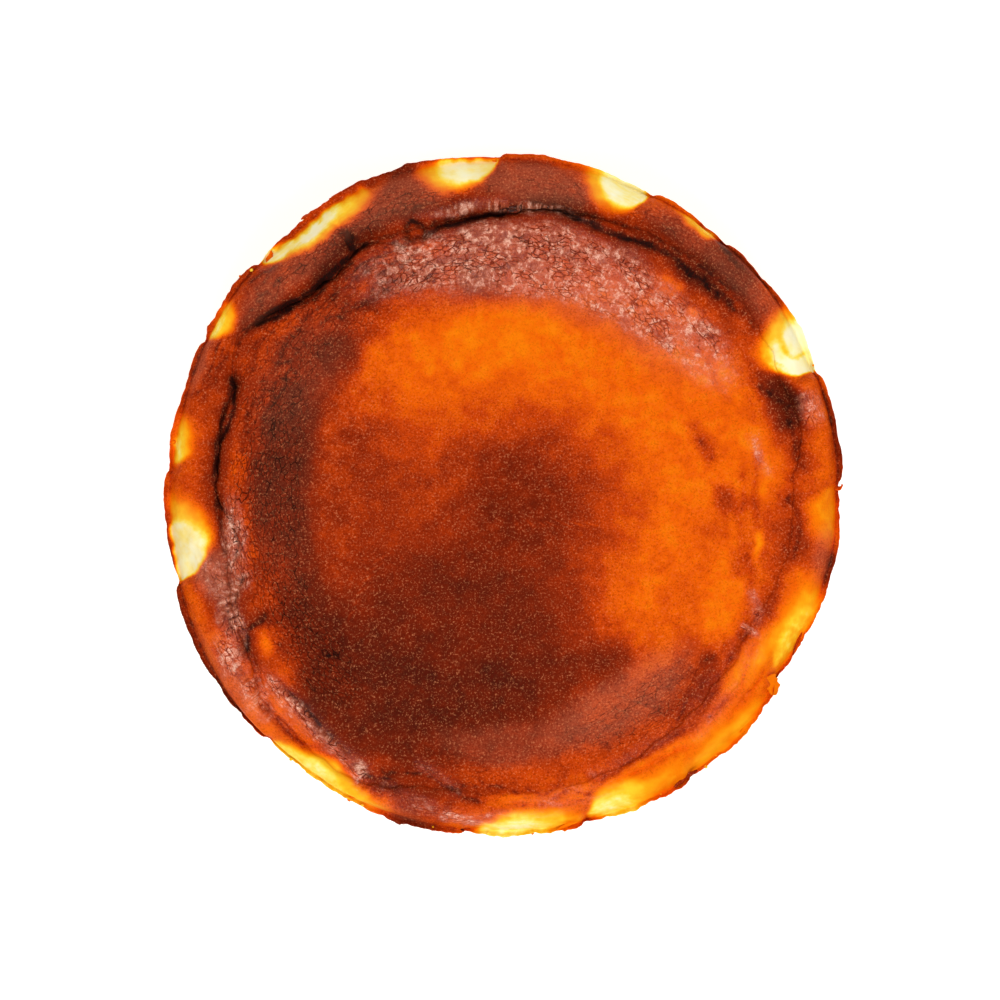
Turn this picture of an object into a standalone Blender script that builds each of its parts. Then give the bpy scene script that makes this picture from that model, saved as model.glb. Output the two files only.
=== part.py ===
"""A whole burnt-top cheesecake, baked in a paper-lined tin and standing on its flat base.

It is one solid: a shallow sunken centre, a slope that climbs outwards, a crease all round, and the
puffed roll that folded over it. Outside the roll stands a thin lip of crust, and below it a wall
marked by the pleats of the baking paper. Where a pleat lay over the batter's shoulder the roll is
scooped out, and those pockets stayed pale.

Units are metres, +Z is up, and the origin is the centre of the base. Angles run anticlockwise seen
from above, from +X, in degrees.
"""

import math

import bmesh
import bpy
import numpy as np
from mathutils import Vector, noise

# Driving dimensions
CAKE_RADIUS = 0.110
ROLL_HEIGHT = 0.0500
CENTRE_HEIGHT = 0.0405
LIP_HEIGHT = 0.0440
BASE_RADIUS = 0.1068
BASE_ROUNDING = 0.0045
CREASE_DEPTH = 0.0042
GROOVE_DEPTH = 0.0026
WALL_BELLY = 0.0008

# Where the cross-section's corners lie
SLOPE_FOOT_SHARE = 0.56
SLOPE_FOOT_RISE = 0.0006
SLOPE_WIDTH = 0.018
INNER_EDGE_WIDTH = 0.0045
INNER_EDGE_RISE = 0.0012
ROLL_SHOULDERS = (0.34, 0.66)
ROLL_SHOULDER_DROPS = (0.0005, 0.0009)
LIP_WIDTH = 0.0021

# Mesh fineness: segments round the cake, and rings in each span of the cross-section
SEGMENTS = 144
RINGS_PER_SPAN = (4, 5, 4, 2, 2, 3, 3, 2, 1, 4, 3, 2, 2)
LIP_SPAN = 9
CENTRE_RING = 0.16

# Broad unevenness of the baked surface: height, and waves in a metre
SWELLS = ((0.0011, 38.0), (0.0006, 95.0))
CALM_CENTRE = 0.30

# The outline's distance from the true circle
OUTLINE = (
    (0, 0.0002),
    (75, 0.0003),
    (95, 0.0008),
    (118, 0.0012),
    (135, 0.0006),
    (150, 0.0002),
    (164, -0.0013),
    (176, -0.0006),
    (195, 0.0),
    (215, 0.0010),
    (235, 0.0002),
    (285, -0.0002),
    (300, 0.0006),
    (316, 0.0006),
    (330, -0.0024),
    (345, -0.0008),
)
# The crease between centre and roll: radius as a share of the cake's radius
CREASE_LINE = (
    (3, 0.838),
    (13, 0.892),
    (24, 0.872),
    (42, 0.898),
    (61, 0.875),
    (80, 0.857),
    (92, 0.828),
    (108, 0.826),
    (121, 0.840),
    (128, 0.818),
    (136, 0.828),
    (144, 0.885),
    (148, 0.905),
    (157, 0.857),
    (177, 0.844),
    (191, 0.825),
    (209, 0.860),
    (222, 0.918),
    (244, 0.925),
    (258, 0.850),
    (285, 0.863),
    (314, 0.825),
    (335, 0.808),
    (352, 0.845),
)
# How sharply the crease is folded, from 0, faded out, to 1, a deep fold
CREASE_FOLD = (
    (5, 0.35),
    (20, 0.7),
    (32, 0.4),
    (55, 0.3),
    (68, 0.8),
    (80, 1.0),
    (102, 1.0),
    (108, 0.6),
    (115, 0.35),
    (122, 0.9),
    (140, 1.0),
    (150, 0.5),
    (163, 0.9),
    (178, 0.9),
    (195, 0.5),
    (215, 0.5),
    (235, 0.55),
    (262, 0.15),
    (300, 0.3),
    (340, 0.2),
)
# Height of the roll as a share of its full rise above the centre
ROLL_RISE = (
    (0, 0.84),
    (40, 0.95),
    (75, 1.0),
    (110, 1.0),
    (150, 0.93),
    (185, 0.88),
    (215, 0.92),
    (245, 0.84),
    (270, 0.74),
    (300, 0.76),
    (330, 0.72),
)
# Height of the lip above or below its mean
LIP_WAVE = (
    (10, 0.0010),
    (55, -0.0008),
    (100, 0.0012),
    (145, -0.0006),
    (190, 0.0008),
    (235, -0.0010),
    (275, 0.0004),
    (320, -0.0008),
)
# Pale pockets: the angle of the steep side, the angle where the other side has faded out, the inner
# edge as a share of the cake's radius, and the depth of the scoop
POCKETS = (
    (90.5, 103.0, 0.905, 0.0046),
    (63.5, 74.0, 0.900, 0.0046),
    (48.5, 58.0, 0.962, 0.0030),
    (21.5, 32.5, 0.860, 0.0056),
    (2.5, -8.0, 0.880, 0.0038),
    (-34.5, -17.0, 0.870, 0.0050),
    (-56.0, -38.0, 0.915, 0.0032),
    (-76.0, -64.0, 0.885, 0.0048),
    (-96.5, -77.0, 0.935, 0.0040),
    (-134.5, -112.0, 0.935, 0.0052),
    (-165.0, -178.0, 0.862, 0.0056),
    (175.5, 166.0, 0.925, 0.0042),
    (152.5, 145.0, 0.945, 0.0032),
    (136.5, 114.0, 0.925, 0.0052),
)
STEEP_SIDE = 3.0
FULL_SCOOP_SHARE = 0.985

# Pleats of the baking paper: width in degrees, depth, and lean in degrees for each metre of height
PLEAT_SEED = 11
LOOSE_PLEATS = 30
PLEAT_WIDTH = (2.6, 6.5)
PLEAT_DEPTH = (0.0010, 0.0030)
OUTWARD_PLEATS = 0.35
POCKET_PLEAT = (3.2, 0.0030)
PLEAT_LEAN = 100.0
PLEAT_SIDES = (3.0, 1.2)
PLEAT_SHARE_AT_LIP = 0.4


def smooth_step(share):
    """0 below 0, 1 above 1, and an even curve between."""
    share = np.clip(share, 0.0, 1.0)
    return share * share * (3.0 - 2.0 * share)


def around(table, angles, blur=4.0):
    """Reads a table of (angle, value) pairs all round the cake, with its corners blurred."""
    marks, values = zip(*table)
    shifts = np.linspace(-blur, blur, 7)
    return sum(np.interp(angles + s, marks, values, period=360) for s in shifts) / len(shifts)


def turn(angles, start):
    """Signed angle from start, between -180 and 180."""
    return (angles - start + 180.0) % 360.0 - 180.0


def pocket_share(angles, steep, faded):
    """1 inside a pocket, falling to 0 over its steep side and slowly over its other side."""
    reach = faded - steep
    along = turn(angles, steep) * math.copysign(1.0, reach)
    rising = smooth_step(along / STEEP_SIDE + 0.5)
    fading = 1.0 - smooth_step((along / abs(reach) - 0.35) / 0.65)
    return rising * fading


def cross_section(angles):
    """The cross-section's corners (radius, height) from the middle of the top to the base."""
    crease = CAKE_RADIUS * around(CREASE_LINE, angles)
    fold = around(CREASE_FOLD, angles, blur=5.0)
    rise = (ROLL_HEIGHT - CENTRE_HEIGHT) * around(ROLL_RISE, angles, blur=12.0)
    roll_top = CENTRE_HEIGHT + rise
    outline = CAKE_RADIUS + around(OUTLINE, angles)
    lip = LIP_HEIGHT + around(LIP_WAVE, angles, blur=12.0)
    width = outline - crease
    inner_edge = CENTRE_HEIGHT + 0.5 * rise
    crease_floor = inner_edge + INNER_EDGE_RISE - CREASE_DEPTH * fold
    groove = 0.5 * (roll_top + lip) - GROOVE_DEPTH
    level = np.zeros_like(angles)
    shoulders = [
        (crease + share * width, roll_top - drop)
        for share, drop in zip(ROLL_SHOULDERS, ROLL_SHOULDER_DROPS)
    ]
    return np.array(
        [
            (CENTRE_RING * CAKE_RADIUS + level, CENTRE_HEIGHT + level),
            (SLOPE_FOOT_SHARE * CAKE_RADIUS + level, CENTRE_HEIGHT + SLOPE_FOOT_RISE + level),
            (crease - SLOPE_WIDTH, CENTRE_HEIGHT + 0.3 * rise),
            (crease - INNER_EDGE_WIDTH, inner_edge),
            (crease, crease_floor),
            (crease + 0.0021 - 0.0012 * fold, crease_floor + 0.0024 * fold),
            *shoulders,
            (outline - LIP_WIDTH, groove),
            (outline - 0.2 * LIP_WIDTH, lip),
            (outline - 0.5 * LIP_WIDTH + WALL_BELLY, 0.55 * lip),
            (BASE_RADIUS + level, 1.3 * BASE_ROUNDING + level),
            (BASE_RADIUS - 0.3 * BASE_ROUNDING + level, 0.28 * BASE_ROUNDING + level),
            (BASE_RADIUS - BASE_ROUNDING + level, level),
        ]
    )


def rings_through(corners):
    """Rings on a smooth curve through the cross-section's corners, evenly placed in each span."""
    ends = np.concatenate([2 * corners[:1] - corners[1:2], corners, 2 * corners[-1:] - corners[-2:-1]])
    rings = []
    for span, count in enumerate(RINGS_PER_SPAN):
        before, start, stop, after = ends[span : span + 4]
        for t in np.arange(count) / count:
            straight = 2 * start + (stop - before) * t
            bend = (2 * before - 5 * start + 4 * stop - after) * t**2
            swing = (3 * start - before - 3 * stop + after) * t**3
            rings.append(0.5 * (straight + bend + swing))
    rings.append(corners[-1])
    return np.array(rings)


def pleats():
    """(angle, width, depth, lean, side) of every pleat: one at each pocket, and the loose ones."""
    chance = np.random.default_rng(PLEAT_SEED)
    width, depth = POCKET_PLEAT
    for steep, faded, _, _ in POCKETS:
        yield steep, width, -depth, 0.0, math.copysign(1.0, faded - steep)
    for place in range(LOOSE_PLEATS):
        angle = 360.0 * (place + chance.uniform(0.1, 0.9)) / LOOSE_PLEATS
        depth = chance.uniform(*PLEAT_DEPTH)
        if chance.random() > OUTWARD_PLEATS:
            depth = -depth
        lean = chance.normal(0.0, PLEAT_LEAN)
        yield angle, chance.uniform(*PLEAT_WIDTH), depth, lean, chance.choice((-1.0, 1.0))


def pleat_relief(angles, heights):
    """How far the paper's pleats push the wall out or in. Each pleat has a steep and a soft side."""
    relief = np.zeros_like(heights)
    steep, soft = PLEAT_SIDES
    for angle, width, depth, lean, side in pleats():
        off = side * turn(angles, angle + lean * (heights - 0.5 * LIP_HEIGHT)) / width
        relief += depth * np.exp(-np.where(off < 0.0, -steep * off, soft * off))
    return relief


def scoop_pockets(radii, heights, angles):
    """Sinks the outer part of the roll where a pleat covered it, and the lip with it."""
    for steep, faded, inner, depth in POCKETS:
        outward = smooth_step((radii / CAKE_RADIUS - inner) / (FULL_SCOOP_SHARE - inner))
        above_base = smooth_step(heights / LIP_HEIGHT)
        heights = heights - depth * pocket_share(angles, steep, faded) * outward * above_base
    return heights


def swells(radii, angles):
    """Broad unevenness of the top, calmer in the sunken centre."""
    heights = np.zeros_like(radii)
    for place in np.ndindex(radii.shape):
        across, along = math.cos(math.radians(angles[place])), math.sin(math.radians(angles[place]))
        spot = Vector((across, along, 0.0)) * radii[place]
        heights[place] = sum(height * noise.noise(spot * waves) for height, waves in SWELLS)
    return heights * smooth_step(radii / CAKE_RADIUS - CALM_CENTRE)


def surface(angles_once):
    """Radius and height of every ring at every angle."""
    radii, heights = rings_through(cross_section(angles_once)).transpose(1, 0, 2)
    angles = np.broadcast_to(angles_once, radii.shape)
    ring = np.arange(len(radii))[:, None]
    lip_ring = sum(RINGS_PER_SPAN[:LIP_SPAN])
    heights = scoop_pockets(radii, heights, angles)
    heights = heights + smooth_step((lip_ring - ring) / 4.0) * swells(radii, angles)
    down_wall = smooth_step(1.6 * (1.0 - heights / LIP_HEIGHT))
    share = PLEAT_SHARE_AT_LIP + (1.0 - PLEAT_SHARE_AT_LIP) * down_wall
    share = share * smooth_step((ring - lip_ring + 3) / 3.0)
    radii = radii + share * pleat_relief(angles, heights)
    heights = np.where(ring == len(radii) - 1, 0.0, np.maximum(heights, 0.0))
    return radii, heights


def build_body():
    """Spins a plain cross-section once round, then moves every ring to the real surface."""
    mesh = bmesh.new()
    ring_of = mesh.verts.layers.int.new("ring")
    plain = rings_through(cross_section(np.zeros(1)))[:, :, 0]
    corners = [mesh.verts.new((radius, 0.0, height)) for radius, height in plain]
    for ring, corner in enumerate(corners):
        corner[ring_of] = ring
    edges = [mesh.edges.new(pair) for pair in zip(corners, corners[1:])]
    bmesh.ops.spin(
        mesh,
        geom=corners + edges,
        cent=(0, 0, 0),
        axis=(0, 0, 1),
        angle=math.tau,
        steps=SEGMENTS,
        use_merge=True,
    )
    radii, heights = surface(np.arange(SEGMENTS) * 360.0 / SEGMENTS)
    for corner in mesh.verts:
        segment = round(math.atan2(corner.co.y, corner.co.x) / math.tau * SEGMENTS) % SEGMENTS
        angle = math.tau * segment / SEGMENTS
        place = corner[ring_of], segment
        corner.co = (radii[place] * math.cos(angle), radii[place] * math.sin(angle), heights[place])
    close_ends(mesh)
    bmesh.ops.recalc_face_normals(mesh, faces=mesh.faces)
    return mesh


def close_ends(mesh):
    """Closes the middle of the top with a fan and the base with one flat face."""
    caps = bmesh.ops.holes_fill(mesh, edges=[edge for edge in mesh.edges if edge.is_boundary])
    for face in caps["faces"]:
        if face.calc_center_median().z > 0.5 * CENTRE_HEIGHT:
            bmesh.ops.poke(mesh, faces=[face])


def baked_crust():
    """Browned, slightly glossy crust."""
    material = bpy.data.materials.new("browned_crust")
    material.use_nodes = True
    shader = material.node_tree.nodes["Principled BSDF"]
    shader.inputs["Base Color"].default_value = (0.42, 0.11, 0.025, 1.0)
    shader.inputs["Roughness"].default_value = 0.42
    shader.inputs["Metallic"].default_value = 0.0
    return material


def main():
    for old in list(bpy.data.objects):
        bpy.data.objects.remove(old)
    body = build_body()
    data = bpy.data.meshes.new("cheesecake")
    body.to_mesh(data)
    body.free()
    data.materials.append(baked_crust())
    data.shade_smooth()
    data.set_sharp_from_angle(angle=math.radians(50.0))
    cake = bpy.data.objects.new("cheesecake", data)
    bpy.context.scene.collection.objects.link(cake)


main()
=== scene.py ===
"""The looks of a whole burnt-top cheesecake: browned crust, wet gloss with painted sheen and sparkle,
cracks, pale custard pockets.

Metres, +Z up, the origin at the centre of the base. Angles run anticlockwise from +X, in degrees.
Places on the cake are given as an angle and a share of its radius, or as millimetres from its centre.
"""

import math

import bmesh
import bpy
import numpy as np
from mathutils import Matrix, Vector, noise


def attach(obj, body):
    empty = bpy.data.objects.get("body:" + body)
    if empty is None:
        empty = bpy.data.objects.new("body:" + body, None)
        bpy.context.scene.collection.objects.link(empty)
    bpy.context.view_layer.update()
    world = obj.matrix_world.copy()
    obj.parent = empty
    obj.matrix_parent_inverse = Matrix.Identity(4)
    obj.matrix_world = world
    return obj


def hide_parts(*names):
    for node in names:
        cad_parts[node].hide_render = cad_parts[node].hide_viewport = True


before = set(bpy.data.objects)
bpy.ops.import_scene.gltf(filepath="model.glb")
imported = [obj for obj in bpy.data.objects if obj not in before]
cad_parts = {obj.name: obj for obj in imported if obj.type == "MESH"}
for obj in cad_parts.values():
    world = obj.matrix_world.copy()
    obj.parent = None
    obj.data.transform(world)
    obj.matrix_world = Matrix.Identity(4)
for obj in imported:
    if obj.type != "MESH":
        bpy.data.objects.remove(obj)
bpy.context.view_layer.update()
MM = 0.001

# The cake's driving dimensions, as in the solid
CAKE_RADIUS = 0.110
ROLL_HEIGHT = 0.0500
CENTRE_HEIGHT = 0.0405
LIP_HEIGHT = 0.0440
BASE_RADIUS = 0.1068
BASE_ROUNDING = 0.0045
CREASE_DEPTH = 0.0042
GROOVE_DEPTH = 0.0026
WALL_BELLY = 0.0008
SLOPE_FOOT_SHARE = 0.56
SLOPE_FOOT_RISE = 0.0006
SLOPE_WIDTH = 0.018
INNER_EDGE_WIDTH = 0.0045
INNER_EDGE_RISE = 0.0012
ROLL_SHOULDERS = (0.34, 0.66)
ROLL_SHOULDER_DROPS = (0.0005, 0.0009)
LIP_WIDTH = 0.0021
SWELLS = ((0.0011, 38.0), (0.0006, 95.0))
CALM_CENTRE = 0.30

# Mesh fineness: segments round the cake, rings inside the cross-section's first corner, rings in
# each of its spans, and rings across the base
SEGMENTS = 720
MIDDLE_RINGS = 6
RINGS_PER_SPAN = (11, 18, 20, 8, 7, 9, 9, 8, 5, 14, 9, 4, 3)
BASE_RINGS = 4
LIP_SPAN = 9
CENTRE_RING = 0.16
MIDDLE_HOLE = 0.002

OUTLINE = (
    (0, 0.0002), (75, 0.0003), (95, 0.0008), (118, 0.0012), (135, 0.0006), (150, 0.0002),
    (164, -0.0013), (176, -0.0006), (195, 0.0), (215, 0.0010), (235, 0.0002), (285, -0.0002),
    (300, 0.0006), (316, 0.0006), (330, -0.0024), (345, -0.0008),
)
CREASE_LINE = (
    (3, 0.838), (13, 0.892), (24, 0.872), (42, 0.898), (61, 0.875), (80, 0.857), (92, 0.828),
    (108, 0.826), (121, 0.840), (128, 0.818), (136, 0.828), (144, 0.885), (148, 0.905), (157, 0.857),
    (177, 0.844), (191, 0.825), (209, 0.860), (222, 0.918), (244, 0.925), (258, 0.850), (285, 0.863),
    (314, 0.825), (335, 0.808), (352, 0.845),
)
CREASE_FOLD = (
    (5, 0.35), (20, 0.7), (32, 0.4), (55, 0.3), (68, 0.8), (80, 1.0), (102, 1.0), (108, 0.6),
    (115, 0.35), (122, 0.9), (140, 1.0), (150, 0.5), (163, 0.9), (178, 0.9), (195, 0.5), (215, 0.5),
    (235, 0.55), (262, 0.15), (300, 0.3), (340, 0.2),
)
ROLL_RISE = (
    (0, 0.84), (40, 0.95), (75, 1.0), (110, 1.0), (150, 0.93), (185, 0.88), (215, 0.92), (245, 0.84),
    (270, 0.74), (300, 0.76), (330, 0.72),
)
LIP_WAVE = (
    (10, 0.0010), (55, -0.0008), (100, 0.0012), (145, -0.0006), (190, 0.0008), (235, -0.0010),
    (275, 0.0004), (320, -0.0008),
)
# Pale pockets: steep side, faded side, inner edge, depth, and how pale they stayed
POCKETS = (
    (90.5, 103.0, 0.905, 0.0046, 1.00),
    (63.5, 74.0, 0.900, 0.0046, 1.00),
    (48.5, 58.0, 0.962, 0.0030, 0.65),
    (21.5, 32.5, 0.860, 0.0056, 1.00),
    (2.5, -8.0, 0.880, 0.0038, 0.12),
    (-34.5, -17.0, 0.885, 0.0050, 0.36),
    (-56.0, -38.0, 0.915, 0.0032, 0.10),
    (-76.0, -64.0, 0.900, 0.0048, 0.62),
    (-96.5, -77.0, 0.935, 0.0040, 0.75),
    (-134.5, -112.0, 0.935, 0.0052, 0.48),
    (-165.0, -178.0, 0.862, 0.0056, 1.00),
    (175.5, 166.0, 0.925, 0.0042, 0.48),
    (152.5, 145.0, 0.945, 0.0032, 0.52),
    (136.5, 114.0, 0.925, 0.0052, 1.00),
)
STEEP_SIDE = 1.6
FADE_START = 0.35
FULL_SCOOP_SHARE = 0.985

# Pleats of the baking paper
PLEAT_SEED = 11
LOOSE_PLEATS = 30
PLEAT_WIDTH = (2.6, 6.5)
PLEAT_DEPTH = (0.0010, 0.0030)
OUTWARD_PLEATS = 0.35
POCKET_PLEAT = (3.2, 0.0030)
PLEAT_LEAN = 100.0
PLEAT_SIDES = (3.0, 1.2)
PLEAT_SHARE_AT_LIP = 0.4
PLEAT_GROWTH = 1.6
PLEATS_ABOVE_LIP = 8


def smooth_step(share):
    """0 below 0, 1 above 1, and an even curve between."""
    share = np.clip(share, 0.0, 1.0)
    return share * share * (3.0 - 2.0 * share)


def around(table, angles, blur=4.0):
    """Reads a table of (angle, value) pairs all round the cake, with its corners blurred."""
    marks, values = zip(*table)
    shifts = np.linspace(-blur, blur, 7)
    return sum(np.interp(angles + s, marks, values, period=360) for s in shifts) / len(shifts)


def hump(distance):
    """1 at a distance of 0, falling off evenly on both sides."""
    return np.exp(-(distance**2))


def turn(angles, start):
    """Signed angle from start, between -180 and 180."""
    return (angles - start + 180.0) % 360.0 - 180.0


def grain(x, y, z, waves, seed=0.0):
    """Noise from -1 to 1 at every point, with the given waves in a metre."""
    shape = np.shape(x)
    spots = np.stack([np.ravel(x), np.ravel(y), np.ravel(z)], axis=1) * waves + seed
    return np.array([noise.noise(spot) for spot in spots]).reshape(shape)


def ring_grain(angles, wave_length, seed=0.0):
    """Noise from -1 to 1 round the rim, with the given wave length."""
    turns = np.radians(angles)
    x, y = np.cos(turns) * CAKE_RADIUS, np.sin(turns) * CAKE_RADIUS
    return grain(x, y, np.zeros_like(x), 1.0 / wave_length, seed)


# Form of the cake, as in the solid, with the crease drawn in under the roll
CREASE_WIGGLE = ((0.0014, 0.014), (0.0009, 0.0055), (0.0004, 0.0022))
OVERHANG = 0.0026
# The ledge just outside the crease: its reach, and its height where the crust folded or stayed plain
LEDGE_REACH = 0.0021
FOLDED_LEDGE = 0.0028
PLAIN_LEDGE = 0.0010
PLAIN_CREASE_RISE = 0.0012


def pocket_share(angles, steep, faded):
    """1 inside a pocket, falling to 0 over its steep side and slowly over its other side."""
    reach = faded - steep
    along = turn(angles, steep) * math.copysign(1.0, reach)
    rising = smooth_step(along / STEEP_SIDE + 0.5)
    fading = 1.0 - smooth_step((along / abs(reach) - FADE_START) / (1.0 - FADE_START))
    return rising * fading


def cross_section(angles):
    """The cross-section's corners (radius, height) from the middle of the top to the base."""
    wiggle = sum(size * ring_grain(angles, wave) for size, wave in CREASE_WIGGLE)
    crease = CAKE_RADIUS * around(CREASE_LINE, angles, blur=3.0) + wiggle
    fold = around(CREASE_FOLD, angles, blur=5.0)
    rise = (ROLL_HEIGHT - CENTRE_HEIGHT) * around(ROLL_RISE, angles, blur=12.0)
    roll_top = CENTRE_HEIGHT + rise
    outline = CAKE_RADIUS + around(OUTLINE, angles)
    lip = LIP_HEIGHT + around(LIP_WAVE, angles, blur=12.0)
    width = outline - crease
    inner_edge = CENTRE_HEIGHT + 0.5 * rise
    plain = 1.0 - fold
    crease_floor = inner_edge + INNER_EDGE_RISE - CREASE_DEPTH * fold + PLAIN_CREASE_RISE * plain
    ledge = crease_floor + FOLDED_LEDGE * fold + PLAIN_LEDGE * plain
    groove = 0.5 * (roll_top + lip) - GROOVE_DEPTH
    level = np.zeros_like(angles)
    shoulders = [
        (crease + share * width, roll_top - drop)
        for share, drop in zip(ROLL_SHOULDERS, ROLL_SHOULDER_DROPS)
    ]
    return np.array(
        [
            (CENTRE_RING * CAKE_RADIUS + level, CENTRE_HEIGHT + level),
            (SLOPE_FOOT_SHARE * CAKE_RADIUS + level, CENTRE_HEIGHT + SLOPE_FOOT_RISE + level),
            (crease - SLOPE_WIDTH, CENTRE_HEIGHT + 0.3 * rise),
            (crease - INNER_EDGE_WIDTH, inner_edge),
            (crease, crease_floor),
            (crease + LEDGE_REACH - OVERHANG * fold, ledge),
            *shoulders,
            (outline - LIP_WIDTH, groove),
            (outline - 0.2 * LIP_WIDTH, lip),
            (outline - 0.5 * LIP_WIDTH + WALL_BELLY, 0.55 * lip),
            (BASE_RADIUS + level, 1.3 * BASE_ROUNDING + level),
            (BASE_RADIUS - 0.3 * BASE_ROUNDING + level, 0.28 * BASE_ROUNDING + level),
            (BASE_RADIUS - BASE_ROUNDING + level, level),
        ]
    )


def rings_through(corners):
    """Rings on a smooth curve through the cross-section's corners, with the middle and the base."""
    ends = np.concatenate([2 * corners[:1] - corners[1:2], corners, 2 * corners[-1:] - corners[-2:-1]])
    first, last = corners[0], corners[-1]
    rings = []
    for share in np.linspace(MIDDLE_HOLE / (CENTRE_RING * CAKE_RADIUS), 1.0, MIDDLE_RINGS, endpoint=False):
        rings.append(np.array([first[0] * share, first[1]]))
    for span, count in enumerate(RINGS_PER_SPAN):
        before, start, stop, after = ends[span : span + 4]
        for t in np.arange(count) / count:
            straight = 2 * start + (stop - before) * t
            bend = (2 * before - 5 * start + 4 * stop - after) * t**2
            swing = (3 * start - before - 3 * stop + after) * t**3
            rings.append(0.5 * (straight + bend + swing))
    for share in np.linspace(1.0, 0.06, BASE_RINGS):
        rings.append(np.array([last[0] * share, last[1]]))
    return np.array(rings)


def pleats():
    """(angle, width, depth, lean, side) of every pleat: one at each pocket, and the loose ones."""
    chance = np.random.default_rng(PLEAT_SEED)
    width, depth = POCKET_PLEAT
    for steep, faded, *_ in POCKETS:
        yield steep, width, -depth, 0.0, math.copysign(1.0, faded - steep)
    for place in range(LOOSE_PLEATS):
        angle = 360.0 * (place + chance.uniform(0.1, 0.9)) / LOOSE_PLEATS
        depth = chance.uniform(*PLEAT_DEPTH)
        if chance.random() > OUTWARD_PLEATS:
            depth = -depth
        lean = chance.normal(0.0, PLEAT_LEAN)
        yield angle, chance.uniform(*PLEAT_WIDTH), depth, lean, chance.choice((-1.0, 1.0))


def pleat_relief(angles, heights):
    """How far the paper's pleats push the wall out or in. Each pleat has a steep and a soft side."""
    relief = np.zeros_like(heights)
    steep, soft = PLEAT_SIDES
    for angle, width, depth, lean, side in pleats():
        off = side * turn(angles, angle + lean * (heights - 0.5 * LIP_HEIGHT)) / width
        relief += depth * np.exp(-np.where(off < 0.0, -steep * off, soft * off))
    return relief


def scoop_pockets(radii, heights, angles):
    """Sinks the outer part of the roll where a pleat covered it, and the lip with it."""
    for steep, faded, inner, depth, _ in POCKETS:
        outward = smooth_step((radii / CAKE_RADIUS - inner) / (FULL_SCOOP_SHARE - inner))
        above_base = smooth_step(heights / LIP_HEIGHT)
        heights = heights - depth * pocket_share(angles, steep, faded) * outward * above_base
    return heights


# Fine relief that the solid leaves out.
# Folds and cracks of the top: points in millimetres from the centre, half width, depth, darkness
FOLDS = (
    (((-48, 79), (-50, 84), (-53, 87)), 1.5, 1.4, 1.0),
    (((-50, 80), (-42, 82), (-33, 81), (-27, 84)), 0.9, 0.8, 0.6),
    (((-79, 56), (-74, 57), (-68, 60)), 1.1, 0.8, 0.9),
    (((-25, 83), (-20, 87), (-11, 89), (-1, 91), (6, 93)), 1.1, 0.9, 1.0),
    (((10, 94), (18, 92), (28, 88), (40, 83), (48, 80)), 1.3, 1.1, 0.9),
    (((48, 80), (56, 77), (60, 72), (68, 66), (75, 60)), 1.6, 1.2, 0.75),
    (((-30, 82), (-44, 74), (-54, 66), (-60, 61)), 0.6, 0.6, 0.6),
    (((-60, 61), (-68, 52), (-73, 42)), 0.6, 0.5, 0.5),
    (((-31.5, 86), (-29, 88), (-25.5, 87), (-24, 84)), 0.6, 0.4, 0.9),
    (((-20, 72), (-38, 66), (-52, 58)), 0.7, 0.4, 0.5),
    (((82, 36), (90, 31), (93, 22), (95, 12)), 2.0, 0.9, 0.5),
    (((92, 0), (95, -10), (94, -18)), 1.3, 0.7, 0.5),
    (((82, 13), (81, 2), (82, -10)), 0.6, 0.4, 0.3),
    (((77, 8), (76, -6), (78, -20)), 0.6, 0.4, 0.3),
    (((50, -80), (60, -73), (67, -64), (71, -54)), 0.8, 0.7, 0.25),
    (((30, -91), (38, -86), (46, -82)), 0.7, 0.6, 0.25),
    (((-39, -89), (-25, -88), (-19, -92), (-12, -96), (-7, -98)), 0.9, 0.8, 0.55),
    (((-76, -66), (-71, -73), (-64, -79)), 1.0, 0.8, 0.5),
    (((-47, -87), (-42, -90), (-37, -91)), 0.9, 0.7, 0.6),
    (((-70, -61), (-59, -72), (-49, -83)), 0.8, 0.7, 0.45),
    (((-77, -39), (-82, -43), (-82, -49)), 1.2, 0.9, 0.8),
    (((-86, 37), (-88, 27), (-92, 16), (-92, 7)), 0.9, 1.0, 1.0),
    (((-92, -1), (-88, -8), (-85, -16), (-86, -20)), 0.7, 0.7, 0.8),
    (((-83, -25), (-85, -31), (-88, -36), (-87, -42)), 0.9, 0.6, 0.6),
    (((66, -70), (76, -60), (80, -48)), 0.8, 0.7, 0.3),
    (((80, -22), (78, -40), (72, -54)), 0.7, 0.7, 0.2),
    (((92, -38), (86, -52), (76, -66)), 0.6, 0.7, 0.25),
    (((58, -80), (46, -87), (34, -92)), 0.7, 0.8, 0.25),
    (((88, -50), (80, -60), (72, -72)), 0.6, 0.6, 0.3),
    (((28, -97), (16, -99), (4, -99)), 0.6, 0.6, 0.25),
    (((64, 87), (70, 80), (75, 73)), 1.3, 0.5, 0.8),
    (((-56, 63), (-46, 70), (-40, 78)), 0.7, 0.6, 0.5),
    (((-44, 62), (-32, 70), (-16, 76)), 0.6, 0.5, 0.4),
    (((62, 22), (64, 16), (67, 13)), 0.9, 0.3, 0.4),
)
# Stretches of loose small folds: angles, shares of the radius, how many, half width, depth, darkness
LOOSE_FOLDS = (
    ((100, 168), (0.70, 0.82), 30, 0.6, 0.55, 0.60),
    ((108, 158), (0.87, 0.95), 16, 0.5, 0.40, 0.60),
    ((186, 232), (0.84, 0.94), 10, 0.5, 0.45, 0.35),
    ((286, 326), (0.68, 0.82), 18, 0.5, 0.35, 0.35),
    ((20, 98), (0.66, 0.82), 20, 0.5, 0.35, 0.30),
    ((262, 290), (0.84, 0.92), 8, 0.5, 0.30, 0.40),
)
LOOSE_FOLD_LENGTH = (5.0, 14.0)
FOLD_SEED = 31
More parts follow.
